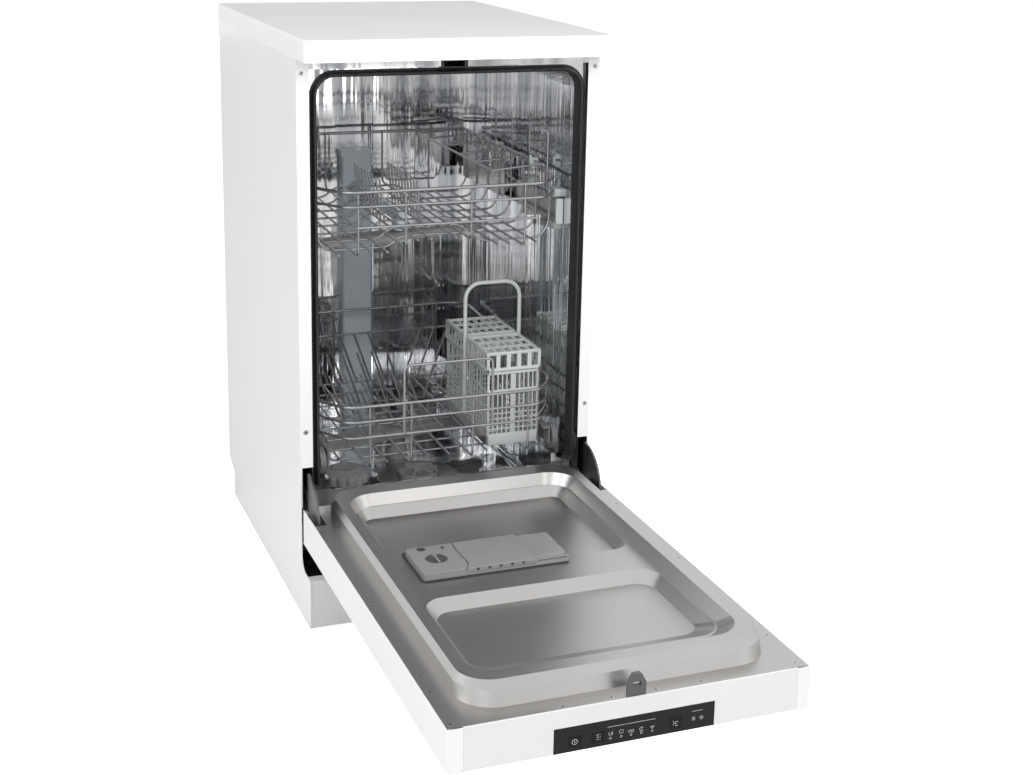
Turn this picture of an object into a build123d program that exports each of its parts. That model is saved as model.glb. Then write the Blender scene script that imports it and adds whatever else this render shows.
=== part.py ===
from build123d import *
import os
from math import cos, radians, sin

# A slim free-standing dishwasher with its door lying open and both racks in.
# Millimetres. The origin is on the floor, at the middle of the worktop's outline.
# X runs to the machine's right as seen from the front, -Y to the front, Z up.

os.makedirs("parts", exist_ok=True)

# Cabinet
WIDTH = 448
DEPTH = 600
HEIGHT = 845
WORKTOP_THICK = 30
SHEET = 1.0
CABINET_FRONT = -250
CABINET_REAR = 290
HALF = WIDTH / 2
UNDER_WORKTOP = HEIGHT - WORKTOP_THICK
FLOOR_GAP = 2
FLANGE_INNER = 206

# Base under the tub
TRAY_HALF = 223
TRAY_TOP = 120
NOTCH_Y = 246
PLINTH_TOP = 77

# Tub
TUB_HALF = 195
TUB_TOP = 790
TUB_FLOOR = 128
TUB_REAR = 262
TUB_CORNER = 28
BASIN_HALF = 174
LEDGE_TOP = 199
LIP_Y = -222
LIP_TOP = 182
MOUTH_HALF = 198
MOUTH_REAR = -226
TUB_FRONT = -240
MOUTH_BOTTOM = 158

# Door, in its open pose. It turns about an axis along X.
HINGE_Y = -259.75
HINGE_Z = 162.75
DOOR_OUTER = 118
DOOR_INNER = 172
DOOR_REAR = -261
DOOR_END = -908
SKIRT_HALF = 218
SKIRT_REACH = 72
LINER_REAR = -257
RIM_TOP = 197
RIM_HALF = 192
BRIDGE_TOP = 180
POCKET_FLOOR = 166
LINER_SHEET = 1.2

# Hinges
ARM_X = 215
ARM_THICK = 3
ARM_RADIUS = 62
PIN_RADIUS = 4
RUNNING_GAP = 0.1

# Racks
WIRE = 3.4
RIM_WIRE = 5
RACK_HALF = 183
UPPER_FRONT = -236
UPPER_REAR = 228
UPPER_RING = 625
UPPER_FLOOR = 530
UPPER_RIDGE = 545
LOWER_FRONT = -238
LOWER_REAR = 215
LOWER_RING = 309
LOWER_FLOOR = 210
RAIL_Z = 572
RAIL_HALF_HEIGHT = 18
RAIL_OUTER = 193.5
RAIL_INNER = 184
RAIL_FRONT = -193
RAIL_REAR = 225
ROLLER_Y = (40, 200)
WHEEL_RADIUS = 20
WHEEL_Y = (-200, 150)
WHEEL_Z = LEDGE_TOP + 0.5 + WHEEL_RADIUS


def save(piece, name):
    """Label a finished piece, or a list of its solids, and write its file."""
    shape = Compound(piece) if isinstance(piece, list) else piece.part
    shape.label = name
    export_step(shape, f"parts/{name}.step")


def block(x0, x1, y0, y1, z0, z1, mode=Mode.ADD):
    """A plain block between two corners, in the part that is being built."""
    with Locations(((x0 + x1) / 2, (y0 + y1) / 2, (z0 + z1) / 2)):
        return Box(x1 - x0, y1 - y0, z1 - z0, mode=mode)


def rod_x(x0, x1, y, z, radius, mode=Mode.ADD):
    """A round bar along X."""
    with Locations(((x0 + x1) / 2, y, z)):
        return Cylinder(radius, x1 - x0, rotation=(0, 90, 0), mode=mode)


def rod_y(x, y0, y1, z, radius, mode=Mode.ADD):
    """A round bar along Y."""
    with Locations((x, (y0 + y1) / 2, z)):
        return Cylinder(radius, y1 - y0, rotation=(90, 0, 0), mode=mode)


def rod_z(x, y, z0, z1, radius, mode=Mode.ADD):
    """A round bar along Z."""
    with Locations((x, y, (z0 + z1) / 2)):
        return Cylinder(radius, z1 - z0, mode=mode)


def bent_wire(points, diameter=WIRE, close=False):
    """One wire of six-sided section, bent at each point of its route."""
    with BuildPart(mode=Mode.PRIVATE) as wire:
        with BuildLine() as route:
            Polyline(*points, close=close)
        with BuildSketch(Plane(route.line @ 0, z_dir=route.line % 0)):
            RegularPolygon(diameter / 2, 6)
        sweep(path=route.line, transition=Transition.RIGHT)
    return wire.part


# Worktop: a faced board with rounded corners and a softened top edge.

with BuildPart() as worktop:
    with BuildSketch(Plane.XY.offset(UNDER_WORKTOP)):
        RectangleRounded(WIDTH, DEPTH, 9)
    extrude(amount=WORKTOP_THICK)
    fillet(worktop.faces().sort_by(Axis.Z)[-1].edges(), 2.5)
save(worktop, "worktop")


# Side panels: steel skins with a front return flange, cut away for the hinge,
# and a foot that runs forward under the door to the plinth.

with BuildPart() as side_panel_left:
    with BuildSketch(Plane.YZ.offset(-HALF)):
        with BuildLine():
            FilletPolyline(
                (CABINET_FRONT, UNDER_WORKTOP),
                (CABINET_FRONT, PLINTH_TOP),
                (-DEPTH / 2, PLINTH_TOP),
                radius=20,
            )
            Polyline(
                (-DEPTH / 2, PLINTH_TOP),
                (-DEPTH / 2, FLOOR_GAP),
                (NOTCH_Y + 2, FLOOR_GAP),
                (NOTCH_Y + 2, 42),
                (CABINET_REAR, 60),
                (CABINET_REAR, UNDER_WORKTOP),
                (CABINET_FRONT, UNDER_WORKTOP),
            )
        make_face()
    extrude(amount=SHEET)
    block(-HALF, -FLANGE_INNER, CABINET_FRONT, CABINET_FRONT + SHEET, 230.5, UNDER_WORKTOP)
    block(-HALF, -222, CABINET_FRONT, CABINET_FRONT + SHEET, 170, 231)
save(side_panel_left, "side_panel_left")

with BuildPart() as side_panel_right:
    mirror(side_panel_left.part, about=Plane.YZ)
save(side_panel_right, "side_panel_right")


# Rear panel, with holes for the water inlet, the drain and the mains lead.

INLET_X, DRAIN_X, GLAND_X, REAR_PORT_Z = 165, 110, -165, 95

with BuildPart() as rear_panel:
    block(-HALF + SHEET, HALF - SHEET, CABINET_REAR - SHEET, CABINET_REAR, 62, UNDER_WORKTOP)
    for port_x, port_r in ((INLET_X, 16), (DRAIN_X, 11), (GLAND_X, 10)):
        rod_y(port_x, CABINET_REAR - 5, CABINET_REAR + 5, REAR_PORT_Z, port_r, Mode.SUBTRACT)
save(rear_panel, "rear_panel")


# Base tray: the moulded floor of the machine, low at the front to leave room
# for the door's skirt, with ribs under the pumps and bosses for the feet.

FOOT_X = 190
FOOT_Y = 225
TRAY_FLOOR = 20

with BuildPart() as base_tray:
    with BuildSketch(Plane.YZ.offset(-TRAY_HALF)):
        with BuildLine():
            Polyline(
                (-283, TRAY_FLOOR),
                (NOTCH_Y, TRAY_FLOOR),
                (NOTCH_Y, 44),
                (CABINET_REAR - 6, 61),
                (CABINET_REAR - 6, TRAY_TOP),
                (-176, TRAY_TOP),
                (-176, 66),
                (-283, 66),
                close=True,
            )
        make_face()
    extrude(amount=2 * TRAY_HALF)
    block(-TRAY_HALF + 3, TRAY_HALF - 3, -280, NOTCH_Y - 3, TRAY_FLOOR + 3, 70, Mode.SUBTRACT)
    block(-TRAY_HALF + 3, TRAY_HALF - 3, -173, NOTCH_Y - 3, TRAY_FLOOR + 3, 130, Mode.SUBTRACT)
    block(-TRAY_HALF + 3, TRAY_HALF - 3, 0, CABINET_REAR - 9, 64, 130, Mode.SUBTRACT)
    for rib_y in (-120, -10, 160):
        block(-TRAY_HALF + 3, TRAY_HALF - 3, rib_y, rib_y + 3, TRAY_FLOOR + 2, TRAY_FLOOR + 9)
    for rib_x in (-60, 60):
        block(rib_x, rib_x + 3, -280, NOTCH_Y - 3, TRAY_FLOOR + 2, TRAY_FLOOR + 9)
    for foot_x in (-FOOT_X, FOOT_X):
        for foot_y in (-FOOT_Y, FOOT_Y):
            rod_z(foot_x, foot_y, TRAY_FLOOR - 2, 44, 12)
            rod_z(foot_x, foot_y, TRAY_FLOOR - 4, 46, 5, Mode.SUBTRACT)
    for post_x in (-150, 150):
        for post_y in (-158, 212):
            block(post_x - 8, post_x + 8, post_y - 8, post_y + 8, TRAY_FLOOR + 2, TUB_FLOOR - SHEET)
    for hook_x in (-216, 216):
        block(hook_x - 5, hook_x + 5, 30, 34, 78, 102)
    for port_x, port_r in ((INLET_X, 16), (DRAIN_X, 11), (GLAND_X, 10)):
        rod_y(port_x, 270, CABINET_REAR, REAR_PORT_Z, port_r, Mode.SUBTRACT)
save(base_tray, "base_tray")

with BuildPart() as levelling_feet:
    for foot_x in (-FOOT_X, FOOT_X):
        for foot_y in (-FOOT_Y, FOOT_Y):
            with Locations((foot_x, foot_y, 5)):
                Cone(19, 15, 10)
            with BuildSketch(Plane((foot_x, foot_y, 10))):
                RegularPolygon(9, 6)
            extrude(amount=8)
            rod_z(foot_x, foot_y, 15, 42, 4.95)
save(levelling_feet, "levelling_feet")


# Plinth: a bent kick plate between the two feet of the side panels.

with BuildPart() as plinth:
    with BuildSketch(Plane.YZ.offset(-HALF + SHEET)):
        with BuildLine():
            Polyline(
                (-283, 64),
                (-283, PLINTH_TOP),
                (-299, PLINTH_TOP),
                (-299, 4),
                (-291, 4),
                (-291, 5),
                (-298, 5),
                (-298, PLINTH_TOP - 1),
                (-284, PLINTH_TOP - 1),
                (-284, 64),
                close=True,
            )
        make_face()
    extrude(amount=WIDTH - 2 * SHEET)
save(plinth, "plinth")


# Screws: countersunk in the front flanges, pan heads in the rear panel.

with BuildPart() as cabinet_screws:
    for screw_x in (-216, 216):
        for screw_z in (284, 796):
            rod_y(screw_x, CABINET_FRONT - 0.15, CABINET_FRONT, screw_z, 3.6)
    for screw_x in (-212, 212):
        for screw_z in (110, 450, 790):
            rod_y(screw_x, CABINET_REAR, CABINET_REAR + 1.8, screw_z, 4)
save(cabinet_screws, "cabinet_screws")


# Tub: a pressed stainless shell. Its walls step in at the ledges that carry the
# lower rack's wheels, and its mouth is wider, to take the rubber seal.

CAP_X, CAP_Y, CAP_RADIUS = -108, -62, 39
FILTER_X, FILTER_Y, FILTER_RADIUS = 6, -80, 32
HUB_Y = 20
LATCH_X = 2
LATCH_HALF = 20


def upright_opening(half, bottom, top, corner):
    """A rectangle standing on its bottom edge, with rounded top corners."""
    with Locations((0, (bottom + top) / 2)):
        opening = Rectangle(2 * half, top - bottom)
    fillet(opening.vertices().group_by(Axis.Y)[-1], corner)


def tub_body(grow):
    """The tub's inner space, grown by a wall thickness on every side."""
    with BuildPart(mode=Mode.PRIVATE) as body:
        with BuildSketch(Plane.XZ.offset(-TUB_REAR - grow)) as outline:
            with Locations((0, (TUB_FLOOR + TUB_TOP) / 2)):
                Rectangle(2 * (BASIN_HALF + grow), TUB_TOP - TUB_FLOOR + 2 * grow)
            with Locations((0, (LEDGE_TOP + TUB_TOP) / 2)):
                Rectangle(2 * (TUB_HALF + grow), TUB_TOP - LEDGE_TOP + 2 * grow)
            fillet(outline.vertices().group_by(Axis.Y)[-1], TUB_CORNER + grow)
            fillet(outline.vertices().group_by(Axis.Y)[0], 12)
        extrude(amount=TUB_REAR - LIP_Y + 2 * grow)
    return body.part


with BuildPart() as tub:
    add(tub_body(SHEET))
    block(-37, 32, TUB_REAR, TUB_REAR + 5, 190, 780)
    with BuildSketch(Plane.XZ.offset(-LIP_Y + SHEET)):
        upright_opening(MOUTH_HALF + SHEET, MOUTH_BOTTOM, TUB_TOP + 4, TUB_CORNER + 4)
    extrude(amount=LIP_Y - SHEET - TUB_FRONT)
    block(-FLANGE_INNER, FLANGE_INNER, TUB_FRONT, TUB_FRONT + SHEET, MOUTH_BOTTOM, UNDER_WORKTOP)
    block(-FLANGE_INNER, FLANGE_INNER, CABINET_FRONT, TUB_FRONT + SHEET, 801, UNDER_WORKTOP)
    block(-204, 204, CABINET_FRONT + SHEET, TUB_FRONT, 802, HEIGHT, Mode.SUBTRACT)
    add(tub_body(0), mode=Mode.SUBTRACT)
    block(-36, 31, TUB_REAR - 1, TUB_REAR + 4, 191, 779, Mode.SUBTRACT)
    with BuildSketch(Plane.XZ.offset(-LIP_Y - 1)):
        upright_opening(TUB_HALF, LEDGE_TOP, TUB_TOP, TUB_CORNER)
    extrude(amount=4, mode=Mode.SUBTRACT)
    block(-BASIN_HALF, BASIN_HALF, LIP_Y - 4, LIP_Y + 1, LIP_TOP, LEDGE_TOP + 1, Mode.SUBTRACT)
    with BuildSketch(Plane.XZ.offset(-LIP_Y + 2 * SHEET)):
        upright_opening(MOUTH_HALF, MOUTH_BOTTOM - 20, TUB_TOP + 3, TUB_CORNER + 3)
    extrude(amount=20, mode=Mode.SUBTRACT)
    rod_z(FILTER_X, FILTER_Y, 100, TUB_FLOOR + 5, 58, Mode.SUBTRACT)
    rod_z(CAP_X, CAP_Y, 100, TUB_FLOOR + 5, 31, Mode.SUBTRACT)
    rod_z(0, HUB_Y, 100, TUB_FLOOR + 5, 19, Mode.SUBTRACT)
    block(
        LATCH_X - LATCH_HALF, LATCH_X + LATCH_HALF,
        CABINET_FRONT - 1, LIP_Y, 798.5, 812, Mode.SUBTRACT,
    )
save(tub, "tub")


# Seals: one rubber profile round the mouth, and a strip across the tub's lip
# that the foot of the door closes against.

with BuildPart() as tub_gasket:
    with BuildSketch(Plane.XZ.offset(-TUB_FRONT)):
        upright_opening(203, 200, 798, 34)
    extrude(amount=10.2)
    with BuildSketch(Plane.XZ.offset(-MOUTH_REAR - 2)):
        upright_opening(MOUTH_HALF, 200, TUB_TOP + 3, TUB_CORNER + 3)
    extrude(amount=16)
    with BuildSketch(Plane.XZ.offset(-MOUTH_REAR - 2)):
        upright_opening(TUB_HALF + 0.3, 190, TUB_TOP, TUB_CORNER)
    extrude(amount=40, mode=Mode.SUBTRACT)
    with BuildSketch(Plane.YZ.offset(-172)):
        with BuildLine():
            Polyline(
                (LIP_Y - 2 * SHEET, 164),
                (LIP_Y - 2 * SHEET, 180),
                (LIP_Y - 3, 181),
                (LIP_Y - 3.2, 172),
                (LIP_Y - 3, 164),
                close=True,
            )
        make_face()
    extrude(amount=344)
save(tub_gasket, "tub_gasket")


# Door latch: a black housing behind the front rail, open below the worktop for
# the striker.

with BuildPart() as door_latch:
    block(LATCH_X - LATCH_HALF, LATCH_X + LATCH_HALF, CABINET_FRONT, -200, 798.5, 812)
    block(LATCH_X - 15, LATCH_X + 15, CABINET_FRONT - 1, -208, 800, 808.5, Mode.SUBTRACT)
    fillet(door_latch.edges().filter_by(Axis.Y).group_by(Axis.Z)[-1], 2)
save(door_latch, "door_latch")


# Felt round the tub, over its top and down both sides.

with BuildPart() as tub_felt:
    with BuildSketch(Plane.XZ.offset(-240)):
        upright_opening(TUB_HALF + 6, 262, TUB_TOP + 6, TUB_CORNER + 6)
    extrude(amount=455)
    with BuildSketch(Plane.XZ.offset(-241)):
        upright_opening(TUB_HALF + SHEET, 200, TUB_TOP + SHEET, TUB_CORNER + SHEET)
    extrude(amount=460, mode=Mode.SUBTRACT)
save(tub_felt, "tub_felt")


# Air-gap tank: a flat moulded water chamber between the tub and the left panel.

with BuildPart() as air_gap_tank:
    with BuildSketch(Plane.YZ.offset(-HALF + 2)):
        with Locations((-10, 440)):
            RectangleRounded(280, 340, 24)
    extrude(amount=HALF - 2 - TUB_HALF - 6)
    with BuildSketch(Plane.YZ.offset(-HALF + 2)):
        with Locations((-60, 440), (40, 440)):
            RectangleRounded(60, 280, 12)
    extrude(amount=4, mode=Mode.SUBTRACT)
save(air_gap_tank, "air_gap_tank")


# Sump: a cup under the tub's floor that holds the filter, with the turret that
# feeds and carries the lower spray arm.

ARM_STEM = 7
LOWER_ARM_Z = 165

with BuildPart() as sump:
    rod_z(FILTER_X, FILTER_Y, 60, TUB_FLOOR - SHEET, 64)
    rod_z(FILTER_X, FILTER_Y, 64, TUB_FLOOR, 56, Mode.SUBTRACT)
    block(-24, 24, -24, HUB_Y, 92, 118)
    rod_z(0, HUB_Y, 92, 140, 18.5)
    with Locations((0, HUB_Y, 152)):
        Cone(18.5, 13, 24)
    rod_z(0, HUB_Y, 160, LOWER_ARM_Z + 24, ARM_STEM)
    rod_z(0, HUB_Y, LOWER_ARM_Z + 18.4, LOWER_ARM_Z + 24, 12)
save(sump, "sump")


def spray_arm(name, hub_y, low, thick, reach, sweep_back):
    """Two hollow-looking blades that taper to round tips, with jets on top."""
    tip = reach - 13
    with BuildPart() as arm:
        with BuildSketch(Plane((0, hub_y, low))):
            for turn in (0, 180):
                with BuildSketch(Plane.XY.rotated((0, 0, turn)), mode=Mode.PRIVATE) as blade:
                    Circle(22)
                    with Locations((tip * cos(radians(sweep_back)), tip * sin(radians(sweep_back)))):
                        Circle(13)
                    make_hull()
                add(blade.sketch)
        extrude(amount=thick)
        top = arm.faces().sort_by(Axis.Z)[-1]
        chamfer(top.edges(), 3)
        for turn in (0, 180):
            for jet in range(4):
                with Locations(Plane((0, hub_y, low + thick)).rotated((0, 0, turn + sweep_back))):
                    with Locations((42 + 28 * jet, 0, 0)):
                        Cylinder(3.2, 3)
        rod_z(0, hub_y, low, low + thick + 1, 16)
        rod_z(0, hub_y, low - 1, low + thick + 3, ARM_STEM + RUNNING_GAP, Mode.SUBTRACT)
    save(arm, name)


spray_arm("lower_spray_arm", HUB_Y, LOWER_ARM_Z, 15, 165, 12)


# Filter: a steel plate over the sump's mouth, and the cup that turns to lock
# into it, with a grip across its top.

with BuildPart() as filter_plate:
    rod_z(FILTER_X, FILTER_Y, TUB_FLOOR, TUB_FLOOR + 2.5, 65)
    rod_z(FILTER_X, FILTER_Y, TUB_FLOOR - 1, TUB_FLOOR + 5, FILTER_RADIUS + 0.6, Mode.SUBTRACT)
    chamfer(filter_plate.faces().sort_by(Axis.Z)[-1].edges(), 1)
save(filter_plate, "filter_plate")

with BuildPart() as filter_cylinder:
    rod_z(FILTER_X, FILTER_Y, 64.3, 140, FILTER_RADIUS)
    rod_z(FILTER_X, FILTER_Y, 67, 141, FILTER_RADIUS - 3, Mode.SUBTRACT)
    with BuildSketch(Plane((FILTER_X, FILTER_Y, 134))):
        with PolarLocations(0, 3):
            Rectangle(2 * FILTER_RADIUS - 4, 5)
        Circle(11)
    extrude(amount=10)
    with BuildSketch(Plane((FILTER_X, FILTER_Y, 144))):
        Rectangle(44, 7)
    extrude(amount=5)
save(filter_cylinder, "filter_cylinder")


# Water softener in the base, and the screw cap of its salt filler in the tub.

with BuildPart() as softener:
    with BuildSketch(Plane.XY.offset(TRAY_FLOOR + 9)):
        with Locations((-112, -60)):
            RectangleRounded(104, 128, 18)
    extrude(amount=88)
    rod_z(CAP_X, CAP_Y, 110, TUB_FLOOR + 2, 30)
    rod_z(CAP_X, CAP_Y, 108, TUB_FLOOR + 3, 24.5, Mode.SUBTRACT)
    fillet(softener.faces().group_by(Axis.Z)[0].edges(), 4)
save(softener, "softener")

with BuildPart() as softener_cap:
    with BuildSketch(Plane((CAP_X, CAP_Y, TUB_FLOOR + 2.3))):
        Circle(CAP_RADIUS)
        with PolarLocations(CAP_RADIUS + 3.5, 12):
            Circle(6, mode=Mode.SUBTRACT)
    extrude(amount=14)
    rod_z(CAP_X, CAP_Y, 116, TUB_FLOOR + 3, 24)
    with Locations((CAP_X, CAP_Y, TUB_FLOOR + 19)):
        Cone(28, 21, 6)
    rod_z(CAP_X, CAP_Y, TUB_FLOOR + 20, TUB_FLOOR + 23, 17, Mode.SUBTRACT)
save(softener_cap, "softener_cap")


# Pumps beside the sump.

with BuildPart() as circulation_pump:
    rod_y(108, -14, 12, 78, 44)
    rod_y(108, 12, 124, 78, 38)
    rod_y(108, 124, 130, 78, 20)
    rod_y(108, -60, -14, 78, 15)
    rod_x(62, 108, -60, 78, 15)
    block(84, 132, 30, 110, TRAY_FLOOR + 3, 60)
    add(sump.part, mode=Mode.SUBTRACT)
save(circulation_pump, "circulation_pump")

with BuildPart() as drain_pump:
    rod_x(59, 92, -112, 74, 12)
    rod_x(92, 106, -112, 66, 26)
    rod_x(106, 148, -112, 66, 21)
    block(96, 140, -124, -100, TRAY_FLOOR + 9, 56)
    add(sump.part, mode=Mode.SUBTRACT)
save(drain_pump, "drain_pump")


# Rear connections: water inlet valve with its threaded spigot, drain hose barb,
# and the gland that the mains lead would pass through.

REAR_REACH = DEPTH / 2
TRAY_REAR_WALL = CABINET_REAR - 9
SPIGOT_RADIUS = 13.2

with BuildPart() as inlet_valve:
    block(INLET_X - 20, INLET_X + 20, 244, TRAY_REAR_WALL, 74, 116)
    rod_z(INLET_X, 258, 110, 119, 11)
    rod_y(INLET_X, TRAY_REAR_WALL, REAR_REACH, REAR_PORT_Z, SPIGOT_RADIUS)
    rod_y(INLET_X, 262, REAR_REACH + 1, REAR_PORT_Z, 9, Mode.SUBTRACT)
save(inlet_valve, "inlet_valve")

with BuildPart() as drain_spigot:
    rod_y(DRAIN_X, TRAY_REAR_WALL - 5, TRAY_REAR_WALL, REAR_PORT_Z, 17)
    rod_y(DRAIN_X, TRAY_REAR_WALL, REAR_REACH, REAR_PORT_Z, 9)
    for barb_y in (292, 296):
        with Locations(Location((DRAIN_X, barb_y, REAR_PORT_Z), (90, 0, 0))):
            Cone(10.4, 9, 4)
    rod_y(DRAIN_X, 268, REAR_REACH + 1, REAR_PORT_Z, 7, Mode.SUBTRACT)
save(drain_spigot, "drain_spigot")

with BuildPart() as cable_gland:
    rod_y(GLAND_X, 276, CABINET_REAR, REAR_PORT_Z, 9.6)
    rod_y(GLAND_X, CABINET_REAR, CABINET_REAR + 3, REAR_PORT_Z, 14)
    rod_y(GLAND_X, CABINET_REAR + 3, CABINET_REAR + 8, REAR_PORT_Z, 9)
    rod_y(GLAND_X, 270, REAR_REACH, REAR_PORT_Z, 3.6, Mode.SUBTRACT)
save(cable_gland, "cable_gland")


# Feed duct on the rear wall, seated in the wall's pressed channel, with the
# nozzle that the upper rack's pipe slips over.

PIPE_Z = 533
NOZZLE_RADIUS = 12

with BuildPart() as feed_duct:
    block(-28, 25, 249, TUB_REAR, TUB_FLOOR, 590)
    fillet(feed_duct.edges().filter_by(Axis.Z).group_by(Axis.Y)[0], 5)
    block(-28, 25, TUB_REAR, TUB_REAR + 4, 192, 590)
    block(-30, 27, 246, TUB_REAR + 4, 590, 599)
    rod_y(0, 238, 250, PIPE_Z, NOZZLE_RADIUS)
    rod_y(0, 236, 256, PIPE_Z, 8, Mode.SUBTRACT)
save(feed_duct, "feed_duct")


# Rails of the upper rack: rolled channels, open towards the rack, that slide
# between nylon glides on the tub's walls.

GLIDE_Y = (-170, -60)
RAIL_BOTTOM = RAIL_Z - RAIL_HALF_HEIGHT
RAIL_TOP = RAIL_Z + RAIL_HALF_HEIGHT

with BuildPart() as rail_guides:
    for side in (-1, 1):
        for glide_y in GLIDE_Y:
            for low, high in ((RAIL_BOTTOM - 13, RAIL_BOTTOM - 0.3), (RAIL_TOP + 0.3, RAIL_TOP + 13)):
                inner, outer = sorted((side * 186, side * TUB_HALF))
                block(inner, outer, glide_y - 14, glide_y + 14, low, high)
    fillet(rail_guides.edges().filter_by(Axis.X), 4)
save(rail_guides, "rail_guides")

with BuildPart() as rack_rail_right:
    with BuildSketch(Plane.XZ.offset(-RAIL_REAR)):
        with Locations(((RAIL_INNER + RAIL_OUTER) / 2, RAIL_Z)):
            Rectangle(RAIL_OUTER - RAIL_INNER, 2 * RAIL_HALF_HEIGHT)
        with Locations(((RAIL_INNER + RAIL_OUTER) / 2 - SHEET, RAIL_Z)):
            Rectangle(RAIL_OUTER - RAIL_INNER, 2 * (RAIL_HALF_HEIGHT - SHEET), mode=Mode.SUBTRACT)
        for lip_z in (RAIL_BOTTOM + 1.2, RAIL_TOP - 1.2):
            with Locations((RAIL_INNER + 0.5, lip_z)):
                Rectangle(1, 2.4)
    extrude(amount=RAIL_REAR - RAIL_FRONT)
save(rack_rail_right, "rack_rail_right")

with BuildPart() as rack_rail_left:
    mirror(rack_rail_right.part, about=Plane.YZ)
save(rack_rail_left, "rack_rail_left")

with BuildPart() as rail_end_caps:
    with BuildSketch(Plane.XZ.offset(-RAIL_FRONT)):
        with Locations((-188.8, RAIL_Z), (188.8, RAIL_Z)):
            RectangleRounded(10.8, 2 * RAIL_HALF_HEIGHT + 3, 3)
    extrude(amount=4)
save(rail_end_caps, "rail_end_caps")


# Door hinges. On each side a bracket on the base holds a pin, a quarter disc on
# the door turns about it, and a black cover takes the disc as the door closes.

BRACKET_X = 211

with BuildPart() as hinge_brackets:
    for side in (-1, 1):
        with BuildSketch(Plane.YZ.offset(side * BRACKET_X)):
            with BuildLine():
                Polyline(
                    (-256, 171),
                    (-205, 190),
                    (-150, 190),
                    (-150, 60),
                    (-172, 60),
                    (-172, 128),
                    (-200, 134),
                    (-256, 154),
                    close=True,
                )
            make_face()
            with Locations((HINGE_Y, HINGE_Z)):
                Circle(11)
        extrude(amount=1.5, both=True)
        rod_x(*sorted((side * BRACKET_X, side * 219)), HINGE_Y, HINGE_Z, PIN_RADIUS)
        rod_x(*sorted((side * 217, side * 219)), HINGE_Y, HINGE_Z, 6.5)
        block(*sorted((side * BRACKET_X, side * 220)), -170, -150, 70, 73)
save(hinge_brackets, "hinge_brackets")

COVER_REAR = -194
COVER_TOP = 230.5

with BuildPart() as hinge_covers:
    for side in (-1, 1):
        with BuildSketch(Plane.YZ.offset(side * 214)):
            with BuildLine():
                FilletPolyline(
                    (CABINET_FRONT, 163),
                    (CABINET_FRONT, COVER_TOP),
                    (COVER_REAR, COVER_TOP),
                    (COVER_REAR, 163),
                    radius=7,
                )
                Line((COVER_REAR, 163), (CABINET_FRONT, 163))
            make_face()
        extrude(amount=8, both=True)
        hollow = sorted((side * 207.2, side * 220.8))
        block(*hollow, -252, COVER_REAR - 1.2, 162, COVER_TOP - 1.2, Mode.SUBTRACT)
        block(*sorted((side * 208, side * 214)), -200, COVER_REAR + 1, 162, 192, Mode.SUBTRACT)
save(hinge_covers, "hinge_covers")

with BuildPart() as hinge_arms:
    for side in (-1, 1):
        with BuildSketch(Plane.YZ.offset(side * ARM_X)) as disc:
            with Locations((HINGE_Y, HINGE_Z)):
                Circle(ARM_RADIUS)
                with Locations((34, 0)):
                    Rectangle(62, 140, mode=Mode.SUBTRACT)
                with Locations((0, -36)):
                    Rectangle(140, 62, mode=Mode.SUBTRACT)
                Circle(9.5)
            with Locations((-360, 161)):
                Rectangle(120, 19.6)
            with Locations((HINGE_Y, HINGE_Z)):
                Circle(PIN_RADIUS + RUNNING_GAP, mode=Mode.SUBTRACT)
        extrude(amount=ARM_THICK / 2, both=True)
save(hinge_arms, "hinge_arms")

with BuildPart() as door_springs:
    for spring_x in (-213.4, 213.4):
        rod_y(spring_x, -140, 20, 90, 5)
        rod_y(spring_x, -150, -139, 90, 1.6)
        rod_y(spring_x, 19, 30, 90, 1.6)
save(door_springs, "door_springs")


# Door skin: a white steel tray with rounded edges. Below the hinge line it goes
# on as a narrower skirt that swings in between the side panels.

GRIP_HALF = 75
GRIP_FRONT = -890
GRIP_REAR = -852
CONSOLE_LEFT = -205
CONSOLE_RIGHT = 208
SKIN_EDGE = 2.5

with BuildPart() as door_panel:
    block(-HALF, HALF, DOOR_END, DOOR_REAR, DOOR_OUTER, DOOR_INNER)
    fillet(door_panel.faces().sort_by(Axis.Z)[0].edges(), SKIN_EDGE)
    with BuildPart(mode=Mode.PRIVATE) as inside:
        block(-HALF + 1, HALF - 1, DOOR_END + 1, DOOR_REAR - 1, DOOR_OUTER + 1, DOOR_INNER + 5)
        fillet(inside.faces().sort_by(Axis.Z)[0].edges(), SKIN_EDGE - 1)
    add(inside.part, mode=Mode.SUBTRACT)
    for side in (-1, 1):
        block(*sorted((side * 205, side * 225)), DOOR_REAR - 2, DOOR_REAR + 1, 122, 180, Mode.SUBTRACT)
        block(*sorted((side * 217.5, side * 223.5)), DOOR_END + 1, -330, 169.8, 170.8)
    block(-205, 205, DOOR_REAR - 2, DOOR_REAR + 1, DOOR_INNER - LINER_SHEET, 180, Mode.SUBTRACT)
    block(CONSOLE_LEFT, CONSOLE_RIGHT, DOOR_END - 1, DOOR_END + 3, 119, 180, Mode.SUBTRACT)
    block(-SKIRT_HALF, SKIRT_HALF, DOOR_REAR - 4, DOOR_REAR + SKIRT_REACH, DOOR_OUTER, DOOR_OUTER + 1)
    block(-GRIP_HALF, GRIP_HALF, GRIP_FRONT, GRIP_REAR, 110, 121, Mode.SUBTRACT)
save(door_panel, "door_panel")


# Door liner: one pressed stainless sheet. A flange lies on the door's edges, a
# rim stands up from it, and two pockets with a bridge between them are sunk
# inside the rim. The upper pocket sweeps forward round the dispenser.

BRIDGE_REAR = -462
BRIDGE_FRONT = -612
POCKET_HALF = 160
POCKET_REAR = -300
POCKET_FRONT = -812
SWEEP_START = 72
SWEEP_END = 118
SWEEP_Y = -546
DOSER_LEFT, DOSER_RIGHT = -140, 60
DOSER_FRONT, DOSER_REAR = -560, -475


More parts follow.
